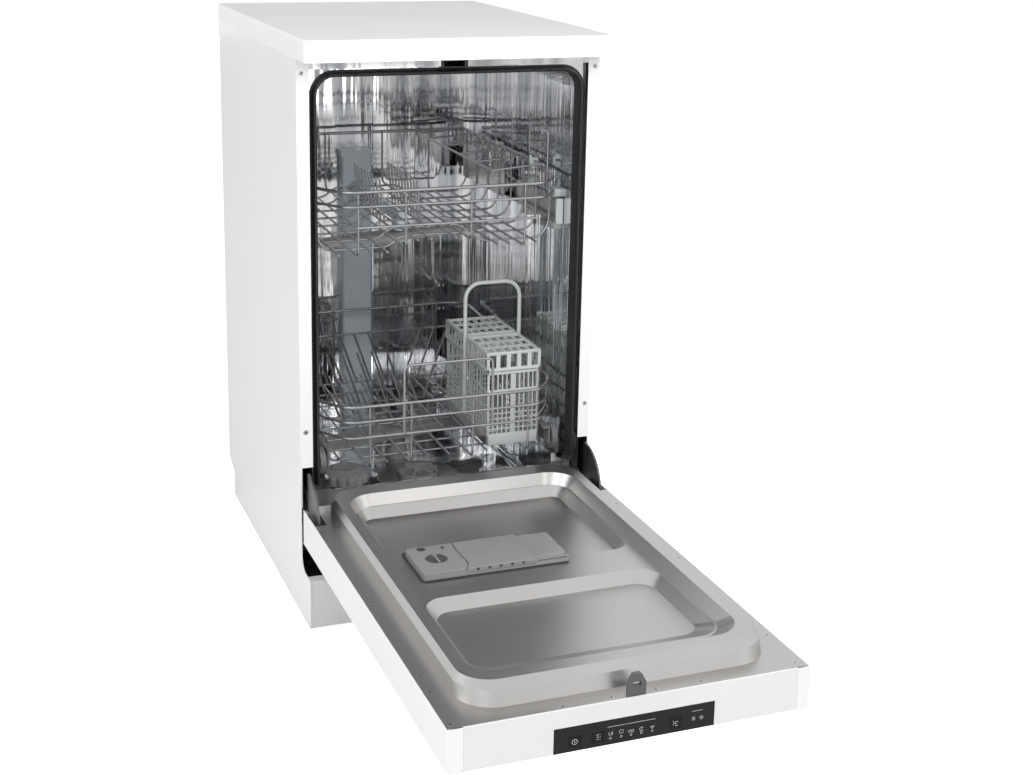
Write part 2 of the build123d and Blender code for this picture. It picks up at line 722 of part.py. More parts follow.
def plate_outline(half, front, rear, corner):
    """A rounded rectangle between two stations along the door."""
    with Locations((0, (front + rear) / 2)):
        RectangleRounded(2 * half, rear - front, corner)


def rim_body(inset):
    """The rim's outer form, drawn in by a sheet's thickness."""
    with BuildPart(mode=Mode.PRIVATE) as body:
        with BuildSketch(Plane.XY.offset(DOOR_INNER - LINER_SHEET - inset / 4)):
            plate_outline(194 - inset, -880 + inset, LINER_REAR - inset, 48 - inset)
        with BuildSketch(Plane.XY.offset(189 - inset / 2)):
            plate_outline(192.5 - inset, -873 + inset, LINER_REAR - 1 - inset, 46 - inset)
        with BuildSketch(Plane.XY.offset(RIM_TOP - inset)):
            plate_outline(186.5 - inset / 2, -862 + inset / 2, LINER_REAR - 6 - inset / 2, 40)
        loft(ruled=True)
    return body.part


def pocket_body(grow):
    """The space sunk inside the rim, grown by a sheet's thickness."""
    with BuildPart(mode=Mode.PRIVATE) as body:
        with BuildSketch(Plane.XY.offset(RIM_TOP + 1)):
            plate_outline(173 + grow, -848 - grow, -291 + grow, 42)
        with BuildSketch(Plane.XY.offset(BRIDGE_TOP - grow)):
            plate_outline(163 + grow, -816 - grow, -298 + grow, 34)
        loft(ruled=True)
        with BuildSketch(Plane.XY.offset(BRIDGE_TOP - grow)):
            plate_outline(POCKET_HALF + grow, POCKET_FRONT - grow, BRIDGE_FRONT + grow, 30)
        with BuildSketch(Plane.XY.offset(POCKET_FLOOR - grow)):
            plate_outline(POCKET_HALF - 12 + grow, -778 - grow, BRIDGE_FRONT - 14 + grow, 24)
        loft(ruled=True)
        with BuildSketch(Plane.XY.offset(BRIDGE_TOP - grow)) as upper_pocket:
            with BuildLine():
                FilletPolyline(
                    (-POCKET_HALF, POCKET_REAR),
                    (POCKET_HALF, POCKET_REAR),
                    (POCKET_HALF, SWEEP_Y),
                    (SWEEP_END - 12, SWEEP_Y),
                    (SWEEP_START, BRIDGE_REAR),
                    (-POCKET_HALF, BRIDGE_REAR),
                    radius=24,
                    close=True,
                )
            make_face()
            if grow:
                offset(amount=grow)
        extrude(amount=-(BRIDGE_TOP - POCKET_FLOOR), taper=40)
    return body.part


with BuildPart() as door_liner:
    block(-222.8, 222.8, DOOR_END + 3.2, LINER_REAR, DOOR_INNER - LINER_SHEET, DOOR_INNER)
    for side in (-1, 1):
        block(*sorted((side * 206, side * 224)), -326, LINER_REAR + 1, 160, 180, Mode.SUBTRACT)
    add(rim_body(0))
    add(pocket_body(LINER_SHEET))
    block(-200, 200, DOOR_END, LINER_REAR, RIM_TOP, RIM_TOP + 4, Mode.SUBTRACT)
    add(pocket_body(0), mode=Mode.SUBTRACT)
    with BuildPart(mode=Mode.PRIVATE) as hollow:
        add(rim_body(LINER_SHEET))
        add(pocket_body(LINER_SHEET), mode=Mode.SUBTRACT)
    add(hollow.part, mode=Mode.SUBTRACT)
    block(
        DOSER_LEFT - 0.3, DOSER_RIGHT + 0.3,
        DOSER_FRONT - 0.3, DOSER_REAR + 0.3, 150, RIM_TOP, Mode.SUBTRACT,
    )
save(door_liner, "door_liner")


# Felt slab between the door's skin and its liner.

with BuildPart() as door_insulation:
    with BuildSketch(Plane.XY.offset(DOOR_OUTER + 1)):
        plate_outline(195, -838, -275, 12)
    extrude(amount=30)
save(door_insulation, "door_insulation")


# Console: the moulded end of the door, with a window for the control glass,
# three key openings, and the grip cup that opens in the door's outer face.

GLASS_HALF = 99.5
GLASS_LOW = 119.4
GLASS_HIGH = 150
GLASS_DEPTH = 1.8
KEY_X = (-74, -46, 50)
KEY_Z = 131
KEY_WIDTH = 14.4
KEY_HEIGHT = 13
CONSOLE_REAR = DOOR_END + 3

with BuildPart() as console:
    block(CONSOLE_LEFT + 0.2, CONSOLE_RIGHT - 0.2, DOOR_END, CONSOLE_REAR, 119.1, DOOR_INNER)
    block(CONSOLE_LEFT + 0.2, CONSOLE_RIGHT - 0.2, CONSOLE_REAR - 1, -842, 119, 121)
    block(-GRIP_HALF - 2, GRIP_HALF + 2, GRIP_FRONT - 2, GRIP_REAR + 2, 119, 146)
    block(-GRIP_HALF, GRIP_HALF, GRIP_FRONT, GRIP_REAR, 115, 144, Mode.SUBTRACT)
    block(
        -GLASS_HALF - 0.2, GLASS_HALF + 0.2,
        DOOR_END - 1, DOOR_END + GLASS_DEPTH, GLASS_LOW - 0.2, GLASS_HIGH + 0.2, Mode.SUBTRACT,
    )
    for key_x in KEY_X:
        block(
            key_x - KEY_WIDTH / 2 - 0.3, key_x + KEY_WIDTH / 2 + 0.3,
            DOOR_END - 1, CONSOLE_REAR + 1,
            KEY_Z - KEY_HEIGHT / 2 - 0.3, KEY_Z + KEY_HEIGHT / 2 + 0.3, Mode.SUBTRACT,
        )
    for post_x in (-96, 0, 96):
        rod_y(post_x, CONSOLE_REAR, DOOR_END + 8, 158, 3)
save(console, "console")

with BuildPart() as control_glass:
    block(-GLASS_HALF, GLASS_HALF, DOOR_END, DOOR_END + GLASS_DEPTH, GLASS_LOW, GLASS_HIGH)
    for key_x in KEY_X:
        block(
            key_x - KEY_WIDTH / 2 - 0.3, key_x + KEY_WIDTH / 2 + 0.3,
            DOOR_END - 1, DOOR_END + 3,
            KEY_Z - KEY_HEIGHT / 2 - 0.3, KEY_Z + KEY_HEIGHT / 2 + 0.3, Mode.SUBTRACT,
        )
save(control_glass, "control_glass")

for key_name, key_x in zip(("power_button", "program_button", "option_button"), KEY_X):
    with BuildPart() as key:
        with BuildSketch(Plane((key_x, DOOR_END, KEY_Z), x_dir=(1, 0, 0), z_dir=(0, 1, 0))):
            RectangleRounded(KEY_WIDTH, KEY_HEIGHT, 1.5)
        extrude(amount=4.4)
        with BuildSketch(Plane((key_x, CONSOLE_REAR + 0.2, KEY_Z), x_dir=(1, 0, 0), z_dir=(0, 1, 0))):
            RectangleRounded(KEY_WIDTH + 3, KEY_HEIGHT + 3, 2)
        extrude(amount=1.2)
    save(key, key_name)

with BuildPart() as control_board:
    block(-106, 106, DOOR_END + 8, DOOR_END + 9.6, 122, 166)
    for key_x in KEY_X:
        block(key_x - 3, key_x + 3, DOOR_END + 5.6, DOOR_END + 8, KEY_Z - 3, KEY_Z + 3)
    block(60, 95, DOOR_END + 9.6, DOOR_END + 14, 134, 158)
    block(-90, -66, DOOR_END + 9.6, DOOR_END + 15, 134, 160)
save(control_board, "control_board")


# Striker: a moulded hook on the flange that the latch takes hold of.

STRIKER_REAR = -898.5

with BuildPart() as door_striker:
    with BuildSketch(Plane.XZ.offset(-STRIKER_REAR)):
        with BuildLine():
            Polyline(
                (LATCH_X - 11, DOOR_INNER),
                (LATCH_X + 11, DOOR_INNER),
                (LATCH_X + 11, DOOR_INNER + 16),
                (LATCH_X + 5, DOOR_INNER + 27),
                (LATCH_X - 5, DOOR_INNER + 27),
                (LATCH_X - 11, DOOR_INNER + 16),
                close=True,
            )
        make_face()
    extrude(amount=6)
    fillet(door_striker.edges().filter_by(Axis.Y).group_by(Axis.Z)[-1], 2.5)
    block(
        LATCH_X - 5, LATCH_X + 5,
        STRIKER_REAR - 7, STRIKER_REAR + 1, DOOR_INNER + 12, DOOR_INNER + 17, Mode.SUBTRACT,
    )
save(door_striker, "door_striker")


# Dispenser: a moulded body let into the liner's bridge, with a detergent cup
# under a lid that slides to the right, and the rinse-aid dial on its left.

DOSER_TOP = 183
DIAL_X, DIAL_Y, DIAL_RADIUS = -110, -525, 14

with BuildPart() as dispenser_body:
    block(DOSER_LEFT, DOSER_RIGHT, DOSER_FRONT, DOSER_REAR, 152, DOSER_TOP)
    fillet(dispenser_body.edges().filter_by(Axis.Z), 5)
    block(DOSER_LEFT - 4, DOSER_RIGHT + 4, DOSER_FRONT - 4, DOSER_REAR + 4, BRIDGE_TOP, BRIDGE_TOP + 1.6)
    with BuildSketch(Plane.XY.offset(DOSER_TOP)):
        with Locations(((DOSER_LEFT - 80) / 2, (DOSER_FRONT + DOSER_REAR) / 2)):
            RectangleRounded(-80 - DOSER_LEFT, DOSER_REAR - DOSER_FRONT, 5)
    extrude(amount=4)
    for rail_y in (DOSER_FRONT + 2.8, DOSER_REAR - 2.8):
        block(-84, DOSER_RIGHT - 5.5, rail_y - 1.9, rail_y + 1.9, DOSER_TOP - 0.5, DOSER_TOP + 3)
    block(-72, -8, -547, -488, 156, 190, Mode.SUBTRACT)
    rod_z(DIAL_X, DIAL_Y, 170, 190, 6.1, Mode.SUBTRACT)
    rod_z(DIAL_X, DIAL_Y, DOSER_TOP + 3, 190, DIAL_RADIUS + 0.5, Mode.SUBTRACT)
    rod_z(-120, -490, DOSER_TOP + 1, 190, 3.5, Mode.SUBTRACT)
save(dispenser_body, "dispenser_body")

with BuildPart() as dispenser_lid:
    block(-78, 15, -554.8, -480.2, DOSER_TOP + 0.2, DOSER_TOP + 4)
    block(-79, 16, -543, -492, DOSER_TOP, DOSER_TOP + 1.8, Mode.SUBTRACT)
    block(3, 15, -554.8, -480.2, DOSER_TOP + 4, DOSER_TOP + 6)
    fillet(dispenser_lid.edges().filter_by(Axis.Z).group_by(Axis.X)[-1], 4)
save(dispenser_lid, "dispenser_lid")

with BuildPart() as rinse_aid_dial:
    rod_z(DIAL_X, DIAL_Y, 171, DOSER_TOP + 4, 6)
    rod_z(DIAL_X, DIAL_Y, DOSER_TOP + 3.2, DOSER_TOP + 5, DIAL_RADIUS)
    with BuildSketch(Plane((DIAL_X, DIAL_Y, DOSER_TOP + 3))):
        SlotOverall(2 * DIAL_RADIUS - 6, 4, rotation=90)
    extrude(amount=4)
save(rinse_aid_dial, "rinse_aid_dial")

DOOR_SCREWS = (
    (-214, -381), (-215, -582), (-215, -784), (-215, -821), (-216, -897),
    (214, -381), (215, -582), (215, -784), (215, -821), (212, -893),
    (-86, -900), (-27, -899), (28, -899), (85, -899),
)

with BuildPart() as door_screws:
    with BuildSketch(Plane.XY.offset(DOOR_INNER)):
        with Locations(*DOOR_SCREWS):
            Circle(3.4)
    extrude(amount=0.2)
save(door_screws, "door_screws")


# Upper rack: a basket of coated steel wire. Wires across the rack rise over a
# ridge in the middle, which leaves room below for the spray arm's pipe.

CHAMFER_Y = -189


def rim_route(front, rear, front_z, rear_z, half_front=150):
    """The closed route of a rack's rim, with cut front corners."""
    return [
        (0, front, front_z),
        (half_front, front, front_z),
        (RACK_HALF, CHAMFER_Y, front_z),
        (RACK_HALF, rear - 20, rear_z),
        (RACK_HALF - 20, rear, rear_z),
        (20 - RACK_HALF, rear, rear_z),
        (-RACK_HALF, rear - 20, rear_z),
        (-RACK_HALF, CHAMFER_Y, front_z),
        (-half_front, front, front_z),
    ]


def rim_height(y, rear, front_z, rear_z):
    """Height of a rack's rim along its sides, where it rises to the rear."""
    return front_z + (rear_z - front_z) * (y - CHAMFER_Y) / (rear - 20 - CHAMFER_Y)


def front_route(front, z, half_front=150):
    """A wire across the front that turns back along both sides."""
    return [
        (-RACK_HALF, -160, z),
        (-RACK_HALF, CHAMFER_Y, z),
        (-half_front, front, z),
        (half_front, front, z),
        (RACK_HALF, CHAMFER_Y, z),
        (RACK_HALF, -160, z),
    ]


UPPER_CROSS_Y = (-176, -122, -68, -14, 40, 94, 148, 202)
UPPER_UPRIGHTS = (-133, -63, 36, 119)
UPPER_FLOOR_WIRES = (-158, -108, -86, -40, -20, 18, 84, 102, 145)
TINE_ROW_A, TINE_ROW_B = -54, 0
STACK = 2.6
SHELF_AXIS_X, SHELF_AXIS_Z = 176.5, 637
SHELF_STOPS_Y = (-162, -87, -12, 63)


def upper_floor_height(x):
    """Height of the cross wires at a station across the rack."""
    distance = abs(x)
    if distance < 56:
        return UPPER_RIDGE
    if distance < 72:
        return UPPER_RIDGE - (UPPER_RIDGE - UPPER_FLOOR) * (distance - 56) / 16
    return UPPER_FLOOR


def upper_rack_wires():
    """All the wires of the upper rack, ready to be welded into one piece."""
    rim = rim_route(UPPER_FRONT, UPPER_REAR, UPPER_RING, UPPER_RING + 8)
    wires = [
        bent_wire(rim, RIM_WIRE, close=True),
        bent_wire(front_route(UPPER_FRONT, UPPER_RING - 21), 4),
        bent_wire([(-136, UPPER_FRONT, 574), (136, UPPER_FRONT, 574)], 4),
    ]
    for y in UPPER_CROSS_Y:
        top = rim_height(y, UPPER_REAR, UPPER_RING, UPPER_RING + 8)
        half = [(180, top), (180, 550), (166, UPPER_FLOOR), (72, UPPER_FLOOR), (56, UPPER_RIDGE)]
        route = [(-x, y, z) for x, z in half] + [(x, y, z) for x, z in reversed(half)]
        wires.append(bent_wire(route))
    front, rear = UPPER_FRONT + 3, UPPER_REAR - 3
    for x in UPPER_UPRIGHTS:
        low = upper_floor_height(x) + STACK
        route = [(x, front, UPPER_RING + 1), (x, front, low), (x, rear, low), (x, rear, UPPER_RING + 9)]
        wires.append(bent_wire(route))
    for x in UPPER_FLOOR_WIRES:
        low = upper_floor_height(x) + STACK
        wires.append(bent_wire([(x, front + 14, low), (x, rear - 14, low)]))
    return wires


def tine_row(row_x, first, pitch, count):
    """A row of tines standing on a base wire that runs from front to rear."""
    base = upper_floor_height(row_x) + STACK
    last = first - pitch * (count - 1)
    wires = [bent_wire([(row_x, first + 32, base), (row_x, last - 32, base)])]
    for tine in range(count):
        y = first - pitch * tine
        wires.append(bent_wire([(row_x, y, base), (row_x - 8, y, 615)], 3))
    with BuildPart(mode=Mode.PRIVATE) as row:
        add(wires)
    return row.part


def cut_to_panels(whole, boxes):
    """Part a wire basket at its corners into nearly flat panels; the last is what is left."""
    panels, rest = [], whole
    for box in boxes:
        with BuildPart(mode=Mode.PRIVATE) as cutter:
            block(*box)
        panels += (rest & cutter.part).solids()
        rest = rest - cutter.part
    return panels + rest.solids()


FAR = 900
WIRES_UP = STACK + WIRE / 2 + 1
SIDE_BEND, FRONT_BEND, RIDGE_FOOT = 167, 151, 71
UPPER_PANELS = (
    (-SIDE_BEND, -RIDGE_FOOT, -FAR, FAR, 0, UPPER_FLOOR + WIRES_UP),
    (RIDGE_FOOT, SIDE_BEND, -FAR, FAR, 0, UPPER_FLOOR + WIRES_UP),
    (-RIDGE_FOOT, RIDGE_FOOT, -FAR, FAR, 0, UPPER_RIDGE + WIRES_UP),
    (-FAR, -SIDE_BEND, CHAMFER_Y, FAR, 0, FAR),
    (SIDE_BEND, FAR, CHAMFER_Y, FAR, 0, FAR),
    (-FRONT_BEND, FRONT_BEND, -FAR, CHAMFER_Y, 0, FAR),
    (-FAR, -FRONT_BEND, -FAR, CHAMFER_Y, 0, FAR),
    (FRONT_BEND, FAR, -FAR, CHAMFER_Y, 0, FAR),
)

with BuildPart() as upper_basket:
    add(upper_rack_wires())
    for side in (-1, 1):
        block(*sorted((side * 181, side * 183)), 20, 220, 552, UPPER_RING + 4)
        block(*sorted((side * 178, side * 184)), 70, 170, 590, 616, Mode.SUBTRACT)
        for roller_y in ROLLER_Y:
            rod_x(*sorted((side * 181.5, side * 191.8)), roller_y, RAIL_Z, PIN_RADIUS)
    for clip_y in (-115, 36, 112):
        block(172.5, 184, clip_y - 5, clip_y + 5, UPPER_RING - 1, SHELF_AXIS_Z + 4)
        rod_y(SHELF_AXIS_X, clip_y - 6, clip_y + 6, SHELF_AXIS_Z, 2 + RUNNING_GAP, Mode.SUBTRACT)
    for stop_y in SHELF_STOPS_Y:
        add(bent_wire([(181.4, stop_y, 600), (181.4, stop_y, 688), (173.5, stop_y + 6, 691)], 3))

tine_rows = [tine_row(TINE_ROW_A, 45, 20, 8), tine_row(TINE_ROW_B, 42, 16.7, 10)]
upper_solids = cut_to_panels(upper_basket.part, UPPER_PANELS)
for row in tine_rows:
    upper_solids += (row - upper_basket.part).solids()
save(upper_solids, "upper_rack_frame")

for roller_name, roller_y in zip(("rack_rollers_rear", "rack_rollers_front"), reversed(ROLLER_Y)):
    with BuildPart() as rollers:
        for side in (-1, 1):
            inner, outer = sorted((side * 185, side * 191.4))
            rod_x(inner, outer, roller_y, RAIL_Z, RAIL_HALF_HEIGHT - SHEET - 0.6)
            rod_x(inner - 1, outer + 1, roller_y, RAIL_Z, PIN_RADIUS + RUNNING_GAP, Mode.SUBTRACT)
        chamfer(rollers.edges().filter_by(GeomType.CIRCLE).group_by(SortBy.RADIUS)[-1], 0.8)
    save(rollers, roller_name)


# Feed pipe under the upper rack: a bell that slips over the duct's nozzle, a
# pipe in the rack's ridge, and the stem that the upper spray arm turns on.

UPPER_ARM_Z = 502

with BuildPart() as upper_feed_pipe:
    rod_y(0, -14, 236, PIPE_Z, 9)
    rod_y(0, 226, 245, PIPE_Z, 15.6)
    rod_z(0, 0, UPPER_ARM_Z + 12.6, PIPE_Z, 13)
    rod_z(0, 0, UPPER_ARM_Z - 6, PIPE_Z, ARM_STEM)
    rod_z(0, 0, UPPER_ARM_Z - 6, UPPER_ARM_Z - 1.4, 12)
    for clip_y in (-14, 94, 202):
        block(-8, 8, clip_y - 4, clip_y + 4, PIPE_Z, UPPER_RIDGE + 1)
    rod_y(0, 236, 246, PIPE_Z, NOZZLE_RADIUS + 0.5, Mode.SUBTRACT)
    rod_y(0, 20, 240, PIPE_Z, 7, Mode.SUBTRACT)
    add([upper_basket.part, *tine_rows], mode=Mode.SUBTRACT)
save(upper_feed_pipe, "upper_feed_pipe")

spray_arm("upper_spray_arm", 0, UPPER_ARM_Z, 10, 150, 12)


# Cup shelf: a wire flap that turns on a wire along the rack's right side.

SHELF_EDGE_X, SHELF_EDGE_Z = 95, 631
SHELF_FRONT, SHELF_REAR = -152, 205

with BuildPart() as cup_shelf:
    edge_start = (SHELF_EDGE_X, SHELF_FRONT - 6, SHELF_EDGE_Z)
    edge_end = (SHELF_EDGE_X, SHELF_REAR + 6, SHELF_EDGE_Z)
    shelf_wires = [bent_wire([edge_start, edge_end], 4)]
    for y in (SHELF_FRONT, -78, -2, 74, 150, SHELF_REAR):
        shelf_wires.append(bent_wire([(SHELF_EDGE_X, y, SHELF_EDGE_Z), (SHELF_AXIS_X, y, SHELF_AXIS_Z)]))
    wave_x, wave_low, wave_high, wave_pitch = 138, 634, 652, 19
    wave = []
    for step in range(18):
        y = SHELF_FRONT + 4 + wave_pitch * step
        low, high = (wave_low, wave_high) if step % 2 == 0 else (wave_high, wave_low)
        wave += [(wave_x, y, low), (wave_x, y, high)]
    shelf_wires.append(bent_wire(wave, 3))
    add(shelf_wires)
    rod_y(SHELF_AXIS_X, SHELF_FRONT - 6, SHELF_REAR + 6, SHELF_AXIS_Z, 2)
save(cup_shelf, "cup_shelf")


# Lower rack: the same wire work, with rows of plate tines, a bail handle at the
# front, and the moulded carriers of its four wheels.

LOWER_CROSS_Y = (-180, -140, -95, -45, 5, 65, 120, 175)
LOWER_UPRIGHTS = (-117, -54, 42, 130)
LOWER_FLOOR_WIRES = (-150, -85, -20, 12, 72, 101, 155)
PLATE_ROWS = (175, 65, -45)
PLATE_X = (-99, -74, -49, -24, 1, 26)
RIGHT_PLATE_X = (60, 85, 110, 135)
HANDLE_TOP = 366


def lower_rack_wires():
    """All the wires of the lower rack, ready to be welded into one piece."""
    rim = rim_route(LOWER_FRONT, LOWER_REAR, LOWER_RING, LOWER_RING + 18)
    lower_rim = rim_route(LOWER_FRONT, LOWER_REAR, LOWER_RING - 23, LOWER_RING - 25)
    wires = [
        bent_wire(rim, RIM_WIRE, close=True),
        bent_wire(lower_rim, 4, close=True),
        bent_wire(front_route(LOWER_FRONT, 262), 4),
    ]
    for y in LOWER_CROSS_Y:
        top = rim_height(y, LOWER_REAR, LOWER_RING, LOWER_RING + 18)
        half = [(180.5, top), (180.5, 262), (167, 246), (163.5, LOWER_FLOOR)]
        route = [(-x, y, z) for x, z in half] + [(x, y, z) for x, z in reversed(half)]
        wires.append(bent_wire(route))
    front, rear = LOWER_FRONT + 3, LOWER_REAR - 3
    low = LOWER_FLOOR + STACK
    for x in LOWER_UPRIGHTS:
        route = [(x, front, LOWER_RING + 1), (x, front, low), (x, rear, low), (x, rear, LOWER_RING + 19)]
        wires.append(bent_wire(route))
    for x in LOWER_FLOOR_WIRES:
        wires.append(bent_wire([(x, front + 20, low), (x, rear - 20, low)]))
    for y in PLATE_ROWS:
        for x in PLATE_X:
            wires.append(bent_wire([(x, y, LOWER_FLOOR), (x - 30, y, 297)], 3.6))
    for y in PLATE_ROWS[:2]:
        for x in RIGHT_PLATE_X:
            wires.append(bent_wire([(x, y, LOWER_FLOOR), (x + 30, y, 297)], 3.6))
    for x in PLATE_X:
        wires.append(bent_wire([(x, 5, LOWER_FLOOR), (x - 16, 5, 252)], 3.6))
    wires.append(
        bent_wire(
            [
                (-66, LOWER_FRONT, 262),
                (-66, LOWER_FRONT, HANDLE_TOP),
                (71, LOWER_FRONT, HANDLE_TOP),
                (71, LOWER_FRONT, 262),
            ],
            4.4,
        )
    )
    return wires


LOWER_PANELS = (
    (-FAR, FAR, -FAR, FAR, 0, LOWER_FLOOR + WIRES_UP),
    (-FRONT_BEND, FRONT_BEND, -FAR, CHAMFER_Y, HANDLE_TOP - 5, FAR),
    (-FRONT_BEND, FRONT_BEND, -FAR, CHAMFER_Y, LOWER_RING + 4, FAR),
    (-FAR, -SIDE_BEND, CHAMFER_Y, FAR, 0, FAR),
    (SIDE_BEND, FAR, CHAMFER_Y, FAR, 0, FAR),
    (-FRONT_BEND, FRONT_BEND, -FAR, CHAMFER_Y, 0, FAR),
    (-FAR, -FRONT_BEND, -FAR, CHAMFER_Y, 0, FAR),
    (FRONT_BEND, FAR, -FAR, CHAMFER_Y, 0, FAR),
)

with BuildPart() as lower_basket:
    add(lower_rack_wires())
save(cut_to_panels(lower_basket.part, LOWER_PANELS), "lower_rack_frame")

with BuildPart() as wheel_carriers:
    for side in (-1, 1):
        for wheel_y, front, rear in ((WHEEL_Y[0], -214, -170), (WHEEL_Y[1], 113, 182)):
            block(*sorted((side * 164, side * 175.5)), front, rear, WHEEL_Z - 8, 240)
            block(*sorted((side * 160, side * 172.5)), front - 1, rear + 1, 200, 236, Mode.SUBTRACT)
            rod_x(*sorted((side * 174, side * 189)), wheel_y, WHEEL_Z, PIN_RADIUS)
            rod_x(*sorted((side * 187, side * 189)), wheel_y, WHEEL_Z, 6)
    add(lower_basket.part, mode=Mode.SUBTRACT)
save(wheel_carriers, "wheel_carriers")

for wheel_name, wheel_y in zip(("wheels_front", "wheels_rear"), WHEEL_Y):
    with BuildPart() as wheels:
        for side in (-1, 1):
            inner, outer = sorted((side * 178, side * 186.6))
            rod_x(inner, outer, wheel_y, WHEEL_Z, WHEEL_RADIUS)
            rod_x(*sorted((side * 184.4, side * 187)), wheel_y, WHEEL_Z, WHEEL_RADIUS - 4, Mode.SUBTRACT)
            rod_x(*sorted((side * 184, side * 186.6)), wheel_y, WHEEL_Z, 7)
            rod_x(inner - 1, outer + 1, wheel_y, WHEEL_Z, PIN_RADIUS + RUNNING_GAP, Mode.SUBTRACT)
    save(wheels, wheel_name)


# Cutlery basket: a lattice box with an arch handle, and two slotted lids that
# lift up towards the handle.

BASKET_LEFT, BASKET_RIGHT = 76, 160
BASKET_FRONT, BASKET_REAR = -203, -9
BASKET_LOW = LOWER_FLOOR + STACK + WIRE / 2 + 0.1
BASKET_HIGH = 331
BASKET_X = (BASKET_LEFT + BASKET_RIGHT) / 2
BASKET_Y = (BASKET_FRONT + BASKET_REAR) / 2
HANDLE_Y, ARCH_TOP = -105, 449
LID_LOW, LID_TOP = 332, 362

with BuildPart() as basket_walls:
    block(BASKET_LEFT, BASKET_RIGHT, BASKET_FRONT, BASKET_REAR, BASKET_LOW, BASKET_HIGH)
    block(
        BASKET_LEFT + 2, BASKET_RIGHT - 2,
        BASKET_FRONT + 2, BASKET_REAR - 2, BASKET_LOW + 2, BASKET_HIGH + 1, Mode.SUBTRACT,
    )
    with BuildSketch(Plane.XZ.offset(-BASKET_REAR - 1)):
        for slot_z in (252, 301):
            with Locations((BASKET_X, slot_z)):
                with GridLocations(11, 0, 7, 1):
                    Rectangle(7, 43)
    extrude(amount=BASKET_REAR - BASKET_FRONT + 2, mode=Mode.SUBTRACT)
    with BuildSketch(Plane.YZ.offset(BASKET_LEFT - 1)):
        for slot_z in (252, 301):
            for slot_y in (BASKET_Y - 50, BASKET_Y + 50):
                with Locations((slot_y, slot_z)):
                    with GridLocations(11, 0, 8, 1):
                        Rectangle(7, 43)
    extrude(amount=BASKET_RIGHT - BASKET_LEFT + 2, mode=Mode.SUBTRACT)

with BuildPart() as basket_handle:
    with BuildSketch(Plane.XZ.offset(-HANDLE_Y - 4)):
        with BuildLine():
            FilletPolyline(
                (BASKET_LEFT - 6, 236),
                (BASKET_LEFT - 6, ARCH_TOP),
                (BASKET_RIGHT + 6, ARCH_TOP),
                (BASKET_RIGHT + 6, 236),
                radius=26,
            )
            Polyline((BASKET_LEFT - 6, 236), (BASKET_LEFT, 236))
            Polyline((BASKET_RIGHT + 6, 236), (BASKET_RIGHT, 236))
            FilletPolyline(
                (BASKET_LEFT, 236),
                (BASKET_LEFT, ARCH_TOP - 6.5),
                (BASKET_RIGHT, ARCH_TOP - 6.5),
                (BASKET_RIGHT, 236),
                radius=20,
            )
        make_face()
    extrude(amount=8)

with BuildPart() as lid_bar:
    block(BASKET_LEFT, BASKET_RIGHT, HANDLE_Y - 4.5, HANDLE_Y + 4.5, BASKET_HIGH, LID_TOP - 1)

wall_panels = cut_to_panels(
    basket_walls.part,
    (
        (-FAR, FAR, -FAR, FAR, 0, BASKET_LOW + 2),
        (-FAR, BASKET_LEFT + 2, -FAR, FAR, 0, FAR),
        (BASKET_RIGHT - 2, FAR, -FAR, FAR, 0, FAR),
    ),
)
arch = cut_to_panels(basket_handle.part, ((-FAR, FAR, -FAR, FAR, ARCH_TOP - 20, FAR),))
save(wall_panels + arch + lid_bar.part.solids(), "cutlery_basket")

for lid_name, lid_front, lid_rear, bar_y in (
    ("basket_lid_front", BASKET_FRONT - 2, HANDLE_Y - 6.5, HANDLE_Y - 9),
    ("basket_lid_rear", HANDLE_Y + 6.5, BASKET_REAR + 2, HANDLE_Y + 9),
):
    lid_y = (lid_front + lid_rear) / 2
    lid_length = lid_rear - lid_front
    with BuildPart() as basket_lid:
        with BuildSketch(Plane((BASKET_X, lid_y, LID_LOW))):
            RectangleRounded(90, lid_length, 3)
        with BuildSketch(Plane((BASKET_X, lid_y, LID_TOP))):
            RectangleRounded(84, lid_length - 4, 3)
        loft()
        cavity = (BASKET_X - 40, BASKET_X + 40, lid_front + 4, lid_rear - 4, LID_LOW - 1, LID_TOP - 2)
        block(*cavity, Mode.SUBTRACT)
        with BuildSketch(Plane((BASKET_X, lid_y, LID_TOP + 1))):
            with GridLocations(12, 28, 6, 3):
                Rectangle(7.5, 17)
        extrude(amount=-5, mode=Mode.SUBTRACT)
        with BuildSketch(Plane((BASKET_X, lid_front - 1, 346), x_dir=(1, 0, 0), z_dir=(0, 1, 0))):
            with GridLocations(14, 0, 5, 1):
                Rectangle(8, 18)
        extrude(amount=lid_length + 2, mode=Mode.SUBTRACT)
        with BuildSketch(Plane((BASKET_LEFT - 5, lid_y, 346), x_dir=(0, 1, 0), z_dir=(1, 0, 0))):
            with GridLocations(14, 0, 6, 1):
                Rectangle(8, 18)
        extrude(amount=110, mode=Mode.SUBTRACT)
        rod_x(BASKET_X - 40, BASKET_X + 40, bar_y, LID_TOP - 1.5, 1.5)
    save(basket_lid, lid_name)
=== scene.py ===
from math import cos, pi, radians, sin

import bmesh
import bpy
from mathutils import Matrix, Vector


